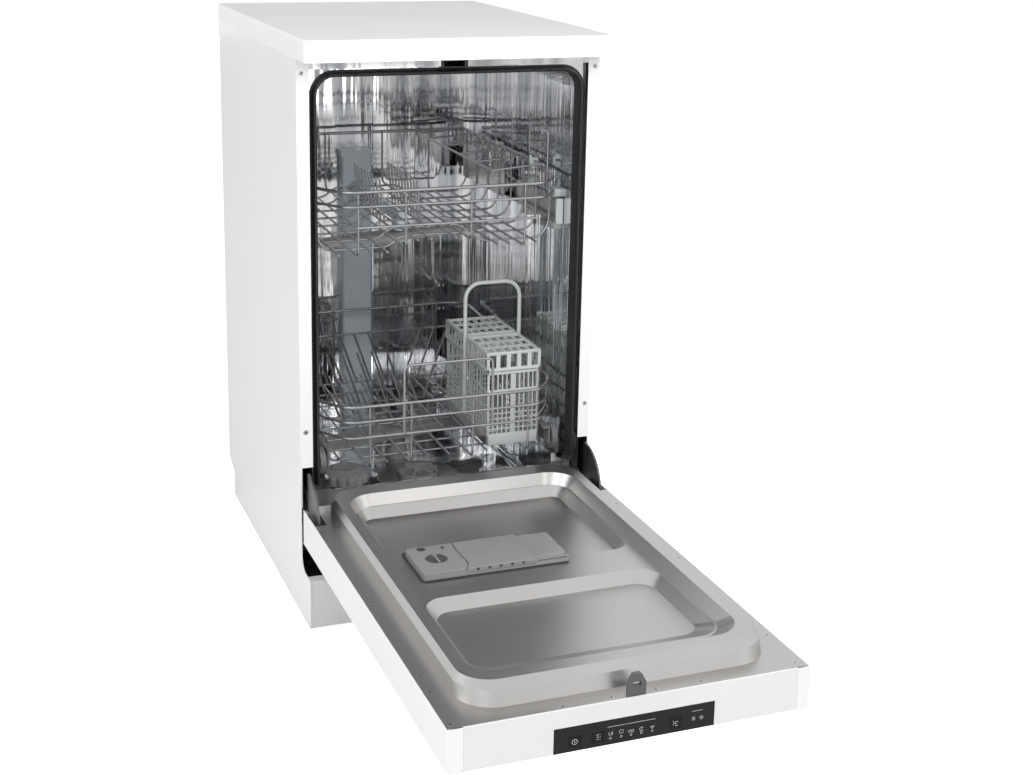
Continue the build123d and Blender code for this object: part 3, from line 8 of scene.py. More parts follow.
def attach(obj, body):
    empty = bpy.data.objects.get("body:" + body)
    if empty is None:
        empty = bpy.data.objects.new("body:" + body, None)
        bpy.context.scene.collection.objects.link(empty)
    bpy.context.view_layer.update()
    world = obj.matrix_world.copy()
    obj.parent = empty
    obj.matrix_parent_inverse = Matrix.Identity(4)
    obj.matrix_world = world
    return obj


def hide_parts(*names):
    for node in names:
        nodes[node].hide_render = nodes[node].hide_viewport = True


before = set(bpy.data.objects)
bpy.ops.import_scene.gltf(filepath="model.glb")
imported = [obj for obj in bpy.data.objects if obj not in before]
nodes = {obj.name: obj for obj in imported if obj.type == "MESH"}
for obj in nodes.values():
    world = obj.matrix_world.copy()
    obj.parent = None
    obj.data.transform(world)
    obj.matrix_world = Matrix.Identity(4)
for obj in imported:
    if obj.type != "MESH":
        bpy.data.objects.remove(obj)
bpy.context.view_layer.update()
MM = 0.001

# Studio. The machine stands on a white floor in white surroundings, with broad
# soft lamps in front of it, seen from the front left and slightly from above.
CAMERA_PLACE = (-0.7271, -2.3807, 1.0677)
CAMERA_TURN = 0.3706
CAMERA_TILT = -0.2432
CAMERA_ROLL = 0.0205
PICTURE_WIDTH = 1033
FOCAL_PIXELS = 1611.7
RISE_PIXELS = -117.5

lens = bpy.data.cameras.new("camera")
lens.sensor_width = 36
lens.lens = FOCAL_PIXELS * lens.sensor_width / PICTURE_WIDTH
lens.shift_y = RISE_PIXELS / PICTURE_WIDTH
camera = bpy.data.objects.new("camera", lens)
camera.matrix_world = (
    Matrix.Translation(CAMERA_PLACE)
    @ Matrix.Rotation(-CAMERA_TURN, 4, "Z")
    @ Matrix.Rotation(pi / 2 + CAMERA_TILT, 4, "X")
    @ Matrix.Rotation(CAMERA_ROLL, 4, "Z")
)
bpy.context.scene.collection.objects.link(camera)
bpy.context.scene.camera = camera
bpy.context.scene.view_settings.view_transform = "Standard"

ROOM_SEEN, ROOM_LIGHT = 1.0, 0.64
world = bpy.data.worlds.new("studio")
bpy.context.scene.world = world
world.use_nodes = True
tree = world.node_tree
background = tree.nodes["Background"]
background.inputs["Color"].default_value = (1, 1, 1, 1)
path = tree.nodes.new("ShaderNodeLightPath")
seen = tree.nodes.new("ShaderNodeMath")
seen.operation = "MAXIMUM"
tree.links.new(path.outputs["Is Camera Ray"], seen.inputs[0])
tree.links.new(path.outputs["Is Transmission Ray"], seen.inputs[1])
mirrored = tree.nodes.new("ShaderNodeMath")
mirrored.operation = "MAXIMUM"
tree.links.new(seen.outputs[0], mirrored.inputs[0])
tree.links.new(path.outputs["Is Glossy Ray"], mirrored.inputs[1])
level = tree.nodes.new("ShaderNodeMapRange")
level.inputs["To Min"].default_value = ROOM_LIGHT
level.inputs["To Max"].default_value = ROOM_SEEN
tree.links.new(mirrored.outputs[0], level.inputs["Value"])
tree.links.new(level.outputs["Result"], background.inputs["Strength"])

AIM = Vector((0, -0.2, 0.45))
for name, place, size, power in (
    ("key", (-2.4, -3.0, 2.3), 2.2, 25),
    ("fill", (2.6, -2.4, 1.7), 1.8, 11),
    ("side", (-3.4, -0.5, 1.5), 2.2, 26),
    ("mouth", (0.1, -1.25, 1.35), 0.8, 10),
    ("glint", (0.21, -1.25, 0.56), 0.22, 0.4),
):
    lamp = bpy.data.lights.new(name, "AREA")
    lamp.size = size
    lamp.energy = power
    stand = bpy.data.objects.new(name, lamp)
    stand.location = place
    stand.visible_camera = False
    stand.visible_glossy = name != "mouth"
    stand.visible_diffuse = name != "glint"
    stand.rotation_euler = (AIM - Vector(place)).to_track_quat("-Z", "Y").to_euler()
    bpy.context.scene.collection.objects.link(stand)

FLOOR_HALF = 8
FLOOR_TONE = 0.86
floor_shape = bmesh.new()
bmesh.ops.create_grid(floor_shape, x_segments=1, y_segments=1, size=FLOOR_HALF)
floor_mesh = bpy.data.meshes.new("floor")
floor_shape.to_mesh(floor_mesh)
floor_shape.free()
floor = bpy.data.objects.new("floor", floor_mesh)
bpy.context.scene.collection.objects.link(floor)
paper = bpy.data.materials.new("white_paper")
paper.use_nodes = True
tree = paper.node_tree
paper_shader = tree.nodes["Principled BSDF"]
paper_shader.inputs["Base Color"].default_value = (FLOOR_TONE, FLOOR_TONE, FLOOR_TONE, 1)
paper_shader.inputs["Roughness"].default_value = 0.9
paper_shader.inputs["Specular IOR Level"].default_value = 0.0
paper_shader.inputs["Emission Color"].default_value = (1, 1, 1, 1)
path = tree.nodes.new("ShaderNodeLightPath")
tree.links.new(path.outputs["Is Camera Ray"], paper_shader.inputs["Emission Strength"])
floor.data.materials.append(paper)


# Worktop. A chipboard top with a white band round its edge. Its upward faces
# are drawn a darker grey: painted shade on the top.
WALL_RELIEF, LEVEL_RELIEF = 0.0004, 0.00008


def surface_group():
    """Fine relief, a spread of roughness and slow clouds of tone, shared by all finishes.

    Level faces get a shallower relief than walls, so that floors stay calm. A streak
    setting mixes the relief itself into the tone, which paints light and dark
    reflection streaks that follow the relief.
    """
    group = bpy.data.node_groups.new("surface_detail", "ShaderNodeTree")
    sockets = (
        ("Density", "NodeSocketVector"), ("Depth", "NodeSocketFloat"),
        ("Roughness", "NodeSocketFloat"), ("Spread", "NodeSocketFloat"),
        ("Cloud Scale", "NodeSocketFloat"), ("Painted Streaks", "NodeSocketFloat"),
    )
    for label, kind in sockets:
        group.interface.new_socket(label, in_out="INPUT", socket_type=kind)
    for label, kind in (
        ("Roughness", "NodeSocketFloat"), ("Normal", "NodeSocketVector"),
        ("Cloud", "NodeSocketFloat"),
    ):
        group.interface.new_socket(label, in_out="OUTPUT", socket_type=kind)
    new, link = group.nodes.new, group.links.new
    entry, exit_ = new("NodeGroupInput"), new("NodeGroupOutput")
    place = new("ShaderNodeTexCoord")
    stretch = new("ShaderNodeVectorMath")
    stretch.operation = "MULTIPLY"
    link(place.outputs["Object"], stretch.inputs[0])
    link(entry.outputs["Density"], stretch.inputs[1])
    relief = new("ShaderNodeTexNoise")
    relief.inputs["Scale"].default_value = 1
    relief.inputs["Detail"].default_value = 3
    link(stretch.outputs[0], relief.inputs["Vector"])
    bump = new("ShaderNodeBump")
    bump.inputs["Strength"].default_value = 1
    reach = new("ShaderNodeMath")
    reach.operation = "MULTIPLY"
    link(entry.outputs["Depth"], reach.inputs[0])
    link(reach.outputs[0], bump.inputs["Distance"])
    facing = new("ShaderNodeNewGeometry")
    parts = new("ShaderNodeSeparateXYZ")
    link(facing.outputs["Normal"], parts.inputs[0])
    flat = new("ShaderNodeMath")
    flat.operation = "ABSOLUTE"
    link(parts.outputs["Z"], flat.inputs[0])
    ease = new("ShaderNodeMapRange")
    ease.inputs["From Min"].default_value = 0.5
    ease.inputs["From Max"].default_value = 0.9
    ease.inputs["To Min"].default_value = WALL_RELIEF
    ease.inputs["To Max"].default_value = LEVEL_RELIEF
    link(flat.outputs[0], ease.inputs["Value"])
    link(ease.outputs["Result"], reach.inputs[1])
    link(relief.outputs["Fac"], bump.inputs["Height"])
    link(bump.outputs["Normal"], exit_.inputs["Normal"])
    centred = new("ShaderNodeMath")
    centred.operation = "SUBTRACT"
    centred.inputs[1].default_value = 0.5
    link(relief.outputs["Fac"], centred.inputs[0])
    rough = new("ShaderNodeMath")
    rough.operation = "MULTIPLY_ADD"
    link(centred.outputs[0], rough.inputs[0])
    link(entry.outputs["Spread"], rough.inputs[1])
    link(entry.outputs["Roughness"], rough.inputs[2])
    link(rough.outputs[0], exit_.inputs["Roughness"])
    cloud = new("ShaderNodeTexNoise")
    cloud.inputs["Detail"].default_value = 2
    link(place.outputs["Object"], cloud.inputs["Vector"])
    link(entry.outputs["Cloud Scale"], cloud.inputs["Scale"])
    # The relief stretched to full range: mixed into the tone by the streak setting, it gives
    # painted reflection streaks.
    grain = new("ShaderNodeMapRange")
    grain.inputs["From Min"].default_value = 0.4
    grain.inputs["From Max"].default_value = 0.6
    link(relief.outputs["Fac"], grain.inputs["Value"])
    blend = new("ShaderNodeMix")
    link(entry.outputs["Painted Streaks"], blend.inputs["Factor"])
    link(cloud.outputs["Fac"], blend.inputs["A"])
    link(grain.outputs["Result"], blend.inputs["B"])
    link(blend.outputs["Result"], exit_.inputs["Cloud"])
    return group


SURFACE = surface_group()


def finish(
    name, low, high, roughness, density=900, depth=0.1, spread=0.1,
    metallic=0.0, coat=0.0, cloud=6, painted_streaks=0.0,
):
    """A finish whose tone drifts between two colours, with fine relief of its own."""
    material = bpy.data.materials.new(name)
    material.use_nodes = True
    tree = material.node_tree
    shader = tree.nodes["Principled BSDF"]
    shader.inputs["Metallic"].default_value = metallic
    shader.inputs["Coat Weight"].default_value = coat
    shader.inputs["Coat Roughness"].default_value = 0.08
    detail = tree.nodes.new("ShaderNodeGroup")
    detail.node_tree = SURFACE
    grain = (density,) * 3 if isinstance(density, (int, float)) else density
    detail.inputs["Density"].default_value = grain
    detail.inputs["Depth"].default_value = depth
    detail.inputs["Roughness"].default_value = roughness
    detail.inputs["Spread"].default_value = spread
    detail.inputs["Cloud Scale"].default_value = cloud
    detail.inputs["Painted Streaks"].default_value = painted_streaks
    tone = tree.nodes.new("ShaderNodeMix")
    tone.data_type = "RGBA"
    tone.inputs["A"].default_value = (*low, 1)
    tone.inputs["B"].default_value = (*high, 1)
    tree.links.new(detail.outputs["Cloud"], tone.inputs["Factor"])
    tree.links.new(tone.outputs["Result"], shader.inputs["Base Color"])
    tree.links.new(detail.outputs["Roughness"], shader.inputs["Roughness"])
    tree.links.new(detail.outputs["Normal"], shader.inputs["Normal"])
    return material


def dress(material, *names):
    """Give CAD nodes their finish."""
    for name in names:
        nodes[name].data.materials.clear()
        nodes[name].data.materials.append(material)


EDGE_BAND = finish(
    "edge_band", (0.84, 0.843, 0.847), (0.875, 0.878, 0.882),
    roughness=0.34, density=1400, depth=0.12, spread=0.12,
)
SHADED_TOP_LAMINATE = finish(
    "worktop_top_painted_shade", (0.60, 0.605, 0.61), (0.64, 0.645, 0.65),
    roughness=0.34, density=1400, depth=0.12, spread=0.12,
)
dress(EDGE_BAND, "worktop")
UPWARD = 0.9
worktop_mesh = nodes["worktop"].data
worktop_mesh.materials.append(SHADED_TOP_LAMINATE)
# Faces pointing up take the darker grey, which paints shade on the top.
for face in worktop_mesh.polygons:
    face.material_index = int(face.normal.z > UPWARD)

# Side panels and back. Folded steel sheet, stove-enamelled white outside; the
# back is bare galvanised sheet with its mottled spangle.
ENAMEL = finish(
    "white_enamel", (0.855, 0.858, 0.865), (0.885, 0.887, 0.89),
    roughness=0.22, density=420, depth=0.05, spread=0.08, coat=0.35,
)
dress(ENAMEL, "side_panel_left", "side_panel_right")
ZINC = finish(
    "galvanised_sheet", (0.42, 0.43, 0.44), (0.60, 0.61, 0.62),
    roughness=0.38, density=160, depth=0.2, spread=0.3, metallic=0.9, cloud=45,
)
dress(ZINC, "rear_panel", "hinge_brackets")
SCREW = finish(
    "zinc_screws", (0.55, 0.55, 0.56), (0.66, 0.66, 0.67),
    roughness=0.28, density=700, depth=0.1, spread=0.15, metallic=1.0,
)
# Near-black: painted shade in screw recesses, in the dispenser's slit and in the gap round it; also
# the colour of some small dark marks.
SHADE_AND_MARKS = finish(
    "painted_shade_and_marks", (0.03, 0.03, 0.03), (0.06, 0.06, 0.06),
    roughness=0.6, density=900, depth=0.2, spread=0.1,
)


def built(name, shape, material, body, slot, *replaced, angle=35):
    """Turn mesh data into a piece that rides on a body and may stand for CAD nodes."""
    bmesh.ops.recalc_face_normals(shape, faces=shape.faces)
    mesh = bpy.data.meshes.new(name)
    shape.to_mesh(mesh)
    shape.free()
    mesh.materials.append(material)
    mesh.shade_smooth()
    mesh.set_sharp_from_angle(angle=radians(angle))
    piece = bpy.data.objects.new(name, mesh)
    bpy.context.scene.collection.objects.link(piece)
    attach(piece, body)
    if replaced:
        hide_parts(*replaced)
    return piece


HERE = Matrix()


def placed(x, y, z, facing=HERE):
    """A place given in millimetres, turned to face a way."""
    return Matrix.Translation(Vector((x, y, z)) * MM) @ facing


def eased(shape, parts, offset, segments=2, affect="EDGES"):
    """Round edges or corners off by an offset in millimetres."""
    bmesh.ops.bevel(
        shape, geom=parts, offset=offset * MM, offset_type="OFFSET", segments=segments,
        profile=0.5, affect=affect, clamp_overlap=True, material=-1,
    )


def slab(shape, x0, x1, y0, y1, z0, z1, bevel=0.0):
    """Add a block between two corners, in millimetres, with its edges rounded."""
    size = Matrix.Diagonal(((x1 - x0) * MM, (y1 - y0) * MM, (z1 - z0) * MM, 1))
    place = placed((x0 + x1) / 2, (y0 + y1) / 2, (z0 + z1) / 2, size)
    verts = bmesh.ops.create_cube(shape, size=1, matrix=place)["verts"]
    if bevel:
        edges = dict.fromkeys(edge for vert in verts for edge in vert.link_edges)
        eased(shape, list(edges), bevel)


def turned(shape, place, profile, steps=32):
    """Turn a profile of radius and height, in millimetres, round the Z axis of a place."""
    verts = [
        shape.verts.new(place @ (Vector((radius, 0, height)) * MM)) for radius, height in profile
    ]
    edges = [shape.edges.new(pair) for pair in zip(verts, verts[1:])]
    bmesh.ops.spin(
        shape, geom=verts + edges, cent=place @ Vector(), axis=place.to_3x3() @ Vector((0, 0, 1)),
        angle=2 * pi, steps=steps, use_duplicate=False,
    )
    bmesh.ops.remove_doubles(shape, verts=shape.verts, dist=0.01 * MM)


CROSS_DEPTH, CROSS_PROUD = 0.3, 0.03
HEAD_TURN = 23


def screw_heads(name, places, radius, height, body, replaced):
    """Low domed heads, one at each place, none turned alike, each crossed by near-black bars that
    paint the shade in its cross recess.
    """
    heads, crosses = bmesh.new(), bmesh.new()
    depth = min(CROSS_DEPTH, height / 2)
    size = Matrix.Diagonal((radius * 1.15 * MM, radius * 0.26 * MM, depth * MM, 1))
    lift = placed(0, 0, height + CROSS_PROUD - depth / 2)
    dome = [(radius, 0), (radius, height * 0.35), (radius * 0.75, height * 0.85), (0, height)]
    for index, place in enumerate(places):
        turned(heads, place, dome, 20)
        # Each cross is two near-black bars standing just proud of the head: painted shade in the
        # recess.
        for quarter in (0, 90):
            spin = Matrix.Rotation(radians(quarter + HEAD_TURN * index), 4, "Z")
            bmesh.ops.create_cube(crosses, size=1, matrix=place @ spin @ lift @ size)
    built(name, heads, SCREW, body, "screw_steel", replaced)
    built(name + "_recess", crosses, SHADE_AND_MARKS, body, "black_plastic")


# The closed door lies half a millimetre from the front flange, so the screws that
# face each other there are countersunk and all but flush.
FLUSH_HEAD, PROUD_HEAD = 0.17, 1.3
CABINET_HEAD, DOOR_HEAD = 3.8, 3.6
FRONT_FACE, REAR_FACE = -250, 290
FACE_FRONT = Matrix.Rotation(pi / 2, 4, "X")
FACE_REAR = Matrix.Rotation(-pi / 2, 4, "X")
front_screws = [placed(x, FRONT_FACE, z, FACE_FRONT) for x in (-216, 216) for z in (284, 796)]
rear_screws = [placed(x, REAR_FACE, z, FACE_REAR) for x in (-212, 212) for z in (110, 450, 790)]
for name, places, height in (
    ("cabinet_screw_heads", front_screws, FLUSH_HEAD),
    ("rear_screw_heads", rear_screws, PROUD_HEAD),
):
    screw_heads(name, places, CABINET_HEAD, height, "cabinet", "cabinet_screws")

# Base. A dark moulded tray carries the pumps and stands on four screw feet; a
# pale enamelled plinth closes its front.
DARK_PLASTIC = finish(
    "dark_moulding", (0.028, 0.029, 0.031), (0.045, 0.046, 0.048),
    roughness=0.5, density=1600, depth=0.25, spread=0.15,
)
dress(DARK_PLASTIC, "levelling_feet", "cable_gland", "drain_spigot", "circulation_pump")
TRAY_PLASTIC = finish(
    "tray_moulding", (0.10, 0.10, 0.102), (0.14, 0.14, 0.142),
    roughness=0.5, density=1600, depth=0.25, spread=0.15,
)
dress(TRAY_PLASTIC, "base_tray")
# The plinth is the same white enamel drawn a shade greyer: painted shade under the door.
SHADED_PLINTH = finish(
    "plinth_enamel", (0.79, 0.793, 0.797), (0.83, 0.833, 0.837),
    roughness=0.3, density=420, depth=0.05, spread=0.1, coat=0.2,
)
dress(SHADED_PLINTH, "plinth")
WHITE_PLASTIC = finish(
    "white_moulding", (0.74, 0.74, 0.735), (0.81, 0.81, 0.80),
    roughness=0.4, density=1500, depth=0.2, spread=0.12,
)
dress(WHITE_PLASTIC, "drain_pump", "softener", "inlet_valve", "air_gap_tank")

# Tub. Pressed from bright stainless sheet, so its walls mirror the racks and the
# mouth in long wavering streaks. Its tone is painted too, in upright light and
# dark streaks from half to full brightness: painted reflections.
TUB_STEEL = finish(
    "bright_steel", (0.52, 0.535, 0.56), (1.0, 1.0, 1.0),
    roughness=0.07, density=(27, 27, 1.5), depth=7.0, spread=0.08,
    metallic=1.0, cloud=5, painted_streaks=0.9,
)
dress(TUB_STEEL, "tub")
RUBBER = finish(
    "black_rubber", (0.012, 0.012, 0.013), (0.022, 0.022, 0.023),
    roughness=0.42, density=1500, depth=0.15, spread=0.15,
)
dress(RUBBER, "door_latch")
gasket = bmesh.new()
MOUTH_HALF, MOUTH_TOP, MOUTH_FOOT, MOUTH_ROUND = 198, 792, 200, 29
MOUTH_PROFILE = (
    (-3.4, -226), (-3.4, -243), (-2.6, -248.6), (-1.0, -250.4), (0.8, -249.8), (1.6, -246.5),
    (3.2, -241.5), (6.2, -240.3), (6.2, -239.7),
)
mouth_line = [(MOUTH_HALF, MOUTH_FOOT)]
for turn in range(0, 91, 10):
    across, up = MOUTH_ROUND * cos(radians(turn)), MOUTH_ROUND * sin(radians(turn))
    mouth_line.append((MOUTH_HALF - MOUTH_ROUND + across, MOUTH_TOP - MOUTH_ROUND + up))
mouth_line += [(-x, z) for x, z in reversed(mouth_line)]
rings = []
for index, (x, z) in enumerate(mouth_line):
    if index == 0:
        run = Vector((0, 1))
    elif index == len(mouth_line) - 1:
        run = Vector((0, -1))
    else:
        run = Vector(mouth_line[index + 1]) - Vector(mouth_line[index - 1])
    outward = Vector((run.y, -run.x)).normalized()
    rings.append([
        gasket.verts.new(Vector((x + outward.x * reach, y, z + outward.y * reach)) * MM)
        for reach, y in MOUTH_PROFILE
    ])
for near, far in zip(rings, rings[1:]):
    for step in range(len(near) - 1):
        gasket.faces.new((near[step], near[step + 1], far[step + 1], far[step]))
built("mouth_gasket", gasket, RUBBER, "cabinet", "gasket_rubber", "tub_gasket")
FELT = finish(
    "felt", (0.03, 0.03, 0.03), (0.07, 0.07, 0.07),
    roughness=0.95, density=1200, depth=1.0, spread=0.05,
)
dress(FELT, "tub_felt", "door_insulation")

# Sump, filter and softener. Grey mouldings in the tub's floor, round a steel
# filter plate.
GREY_PLASTIC = finish(
    "grey_moulding", (0.26, 0.265, 0.27), (0.33, 0.335, 0.34),
    roughness=0.42, density=1400, depth=0.2, spread=0.12,
)
dress(GREY_PLASTIC, "sump", "filter_cylinder", "lower_spray_arm", "upper_spray_arm")
CAP_PLASTIC = finish(
    "cap_moulding", (0.26, 0.265, 0.27), (0.33, 0.335, 0.34),
    roughness=0.4, density=1400, depth=0.2, spread=0.15,
)
CAP_X, CAP_Y, CAP_FOOT = -108, -62, 130.3
LOBES = 14
SIDES = LOBES * 6
CAP_PROFILE = (
    (37.5, 0, 1.6), (38.2, 1.5, 1.7), (38.2, 11.5, 1.7), (36.6, 14.2, 1.5), (33.5, 15.6, 0.5),
    (29, 17.2, 0), (22, 20.4, 0), (20.6, 21.6, 0), (19.4, 21.6, 0), (18.4, 20.6, 0), (4, 20.9, 0),
)
cap = bmesh.new()
loops = []
for radius, height, lobe in CAP_PROFILE:
    loop = []
    for side in range(SIDES):
        turn = 2 * pi * side / SIDES
        reach = radius - lobe * (0.5 + 0.5 * cos(LOBES * turn)) ** 3 * 2.2
        spot = Vector((CAP_X + reach * cos(turn), CAP_Y + reach * sin(turn), CAP_FOOT + height))
        loop.append(cap.verts.new(spot * MM))
    loops.append(loop)
for low, high in zip(loops, loops[1:]):
    for side in range(SIDES):
        after = (side + 1) % SIDES
        cap.faces.new((low[side], low[after], high[after], high[side]))
cap.faces.new(loops[-1])
cap.faces.new(loops[0])
built("softener_screw_cap", cap, CAP_PLASTIC, "salt_cap", "grey_plastic", "softener_cap", angle=50)
FINE_STEEL = finish(
    "filter_steel", (0.42, 0.42, 0.43), (0.55, 0.55, 0.56),
    roughness=0.3, density=700, depth=0.4, spread=0.2, metallic=1.0,
)
dress(FINE_STEEL, "filter_plate")

# Feed duct. A pale blue-grey moulding on the rear wall.
DUCT_PLASTIC = finish(
    "duct_moulding", (0.60, 0.67, 0.72), (0.70, 0.77, 0.82),
    roughness=0.3, density=1200, depth=0.12, spread=0.12, coat=0.15,
)
dress(DUCT_PLASTIC, "feed_duct", "upper_feed_pipe")

# Rails. Folded steel channels with plastic end caps, guides and rollers.
RAIL_STEEL = finish(
    "rail_steel", (0.50, 0.50, 0.505), (0.62, 0.62, 0.62),
    roughness=0.22, density=(8, 700, 700), depth=0.2, spread=0.15, metallic=1.0,
)
dress(RAIL_STEEL, "rack_rail_left", "rack_rail_right")
PALE_PLASTIC = finish(
    "pale_moulding", (0.50, 0.52, 0.52), (0.58, 0.60, 0.60),
    roughness=0.38, density=1300, depth=0.18, spread=0.12,
)
dress(PALE_PLASTIC, "rail_end_caps", "rail_guides", "rack_rollers_front", "rack_rollers_rear")
WHEEL_PLASTIC = finish(
    "wheel_moulding", (0.15, 0.153, 0.157), (0.21, 0.213, 0.217),
    roughness=0.4, density=1300, depth=0.18, spread=0.12,
)
dress(WHEEL_PLASTIC, "wheel_carriers", "wheels_front", "wheels_rear")

# Upper rack. Steel wire welded into a basket and dipped in grey nylon. The wires
# across it rise over a ridge that makes room for the spray arm's feed pipe.
WIRE_COAT = finish(
    "coated_wire", (0.30, 0.305, 0.315), (0.46, 0.465, 0.475),
    roughness=0.24, density=900, depth=0.12, spread=0.16, metallic=0.8, cloud=30,
)
RIM_WIRE, EDGE_WIRE, WIRE, TINE_WIRE, FINE_WIRE = 5.0, 4.0, 3.4, 3.6, 3.0
RACK_HALF = 183
CHAMFER_Y = -189
STACK = 2.6
UPPER_FRONT, UPPER_REAR = -236, 228
UPPER_RING, UPPER_RISE, UPPER_FLOOR, UPPER_RIDGE = 625, 8, 530, 545
RIDGE_HALF, RIDGE_FOOT = 56, 72
ROUND = 0.55


def lay_wire(curve, route, thickness=WIRE, bend=7.0, closed=False):
    """Lay one round wire along a route of corners, in millimetres, and bend it at each."""
    corners = [Vector(point) * MM for point in route]
    knots = []
    last = len(corners) - 1
    for index, here in enumerate(corners):
        if not closed and index in (0, last):
            knots.append((here, here, here))
            continue
        before, after = corners[index - 1], corners[(index + 1) % len(corners)]
        reach = min(bend * MM, (here - before).length * 0.45, (after - here).length * 0.45)
        start = here + (before - here).normalized() * reach
        end = here + (after - here).normalized() * reach
        knots.append((start.lerp(before, 0.1), start, start.lerp(here, ROUND)))
        knots.append((end.lerp(here, ROUND), end, end.lerp(after, 0.1)))
    spline = curve.splines.new("BEZIER")
    spline.bezier_points.add(len(knots) - 1)
    spline.use_cyclic_u = closed
    spline.resolution_u = 4
    for point, (left, place, right) in zip(spline.bezier_points, knots):
        point.handle_left_type = point.handle_right_type = "FREE"
        point.co, point.handle_left, point.handle_right = place, left, right
        point.radius = thickness / WIRE


def wire_curve(name):
    """An empty bundle of wires."""
    curve = bpy.data.curves.new(name, "CURVE")
    curve.dimensions = "3D"
    curve.bevel_depth = WIRE / 2 * MM
    curve.bevel_resolution = 2
    curve.use_fill_caps = True
    return curve


def weld_wires(curve, material, body, *replaced):
    """Turn a bundle of wires into one mesh that stands for its CAD nodes."""
    bundle = bpy.data.objects.new(curve.name, curve)
    bpy.context.scene.collection.objects.link(bundle)
    bpy.context.view_layer.update()
    mesh = bpy.data.meshes.new_from_object(bundle)
    bpy.data.objects.remove(bundle)
    mesh.materials.clear()
    mesh.materials.append(material)
    mesh.shade_smooth()
    piece = bpy.data.objects.new(curve.name, mesh)
    bpy.context.scene.collection.objects.link(piece)
    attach(piece, body)
    if replaced:
        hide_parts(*replaced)
    return piece


def rim_route(front, rear, front_z, rear_z, half_front=150):
    """The closed route of a rack's rim, with cut front corners."""
    return [
        (0, front, front_z),
        (half_front, front, front_z),
        (RACK_HALF, CHAMFER_Y, front_z),
        (RACK_HALF, rear - 20, rear_z),
        (RACK_HALF - 20, rear, rear_z),
        (20 - RACK_HALF, rear, rear_z),
        (-RACK_HALF, rear - 20, rear_z),
        (-RACK_HALF, CHAMFER_Y, front_z),
        (-half_front, front, front_z),
    ]


def rim_height(y, rear, front_z, rear_z):
    """Height of a rack's rim along its sides, where it rises to the rear."""
    return front_z + (rear_z - front_z) * (y - CHAMFER_Y) / (rear - 20 - CHAMFER_Y)


def front_route(front, z, half_front=150):
    """A wire across the front that turns back along both sides."""
    left = [(-RACK_HALF, -160, z), (-RACK_HALF, CHAMFER_Y, z), (-half_front, front, z)]
    return left + [(-x, y, height) for x, y, height in reversed(left)]


def cross_route(y, half):
    """A wire across the rack, the same on both sides."""
    return [(-x, y, z) for x, z in half] + [(x, y, z) for x, z in reversed(half)]


def long_route(x, low, front, rear, front_ring, rear_ring):
    """A wire that runs down the front, along the floor and up the back to the rim."""
    front_y, rear_y = front + 3, rear - 3
    return [
        (x, front_y, front_ring + 1), (x, front_y, low),
        (x, rear_y, low), (x, rear_y, rear_ring + 1),
    ]


def upper_floor_height(x):
    """Height of the cross wires at a station across the rack."""
    if abs(x) < RIDGE_HALF:
        return UPPER_RIDGE
    if abs(x) < RIDGE_FOOT:
        slope = (UPPER_RIDGE - UPPER_FLOOR) / (RIDGE_FOOT - RIDGE_HALF)
        return UPPER_RIDGE - slope * (abs(x) - RIDGE_HALF)
    return UPPER_FLOOR


UPPER_CROSS_Y = (-176, -122, -68, -14, 40, 94, 148, 202)
UPPER_LONG_X = (-133, -63, 36, 119)
UPPER_FLOOR_X = (-158, -108, -86, -40, -20, 18, 84, 102, 145)
UPPER_TINES = ((-54, 45, 20, 8), (0, 42, 16.7, 10))
UPPER_TINE_TOP = 615
SHELF_STOPS_Y = (-162, -87, -12, 63)
upper = wire_curve("upper_rack_wires")
rim = rim_route(UPPER_FRONT, UPPER_REAR, UPPER_RING, UPPER_RING + UPPER_RISE)
lay_wire(upper, rim, RIM_WIRE, 16, closed=True)
lay_wire(upper, front_route(UPPER_FRONT, UPPER_RING - 21), EDGE_WIRE, 14)
lay_wire(upper, [(-136, UPPER_FRONT, 574), (136, UPPER_FRONT, 574)], EDGE_WIRE)
for y in UPPER_CROSS_Y:
    top = rim_height(y, UPPER_REAR, UPPER_RING, UPPER_RING + UPPER_RISE)
    half = [
        (180, top), (180, 550), (166, UPPER_FLOOR), (RIDGE_FOOT, UPPER_FLOOR),
        (RIDGE_HALF, UPPER_RIDGE),
    ]
    lay_wire(upper, cross_route(y, half), WIRE, 9)
for x in UPPER_LONG_X:
    low = upper_floor_height(x) + STACK
    route = long_route(x, low, UPPER_FRONT, UPPER_REAR, UPPER_RING, UPPER_RING + UPPER_RISE)
    lay_wire(upper, route, WIRE, 10)
for x in UPPER_FLOOR_X:
    low = upper_floor_height(x) + STACK
    lay_wire(upper, [(x, UPPER_FRONT + 17, low), (x, UPPER_REAR - 17, low)])
for row_x, first, pitch, count in UPPER_TINES:
    base = upper_floor_height(row_x) + STACK
    last = first - pitch * (count - 1)
    lay_wire(upper, [(row_x, first + 32, base), (row_x, last - 32, base)])
    for tine in range(count):
        y = first - pitch * tine
        lay_wire(upper, [(row_x, y, base), (row_x - 8, y, UPPER_TINE_TOP)], FINE_WIRE)
for y in SHELF_STOPS_Y:
    lay_wire(upper, [(181.4, y, 600), (181.4, y, 688), (173.5, y + 6, 691)], FINE_WIRE, 8)
upper_wires = weld_wires(upper, WIRE_COAT, "upper_rack", "upper_rack_frame")

# Rack brackets. Steel plates welded to both sides carry the rollers' pins, and
# three moulded clips on the right hold the cup shelf's wire.
def slots(start, end, edge, count, bar):
    """Stations along a panel and which of the strips between them are open."""
    pitch = (end - start - 2 * edge + bar) / count
    marks, opened = [start], []
    for slot in range(count):
        marks += [start + edge + slot * pitch, start + edge + (slot + 1) * pitch - bar]
        opened += [False, True]
    return marks + [end], opened + [False]


def joined(*rows):
    """Rows of stations laid end to end."""
    marks, opened = list(rows[0][0]), list(rows[0][1])
    for more, holes in rows[1:]:
        marks += more[1:]
        opened += holes
    return marks, opened


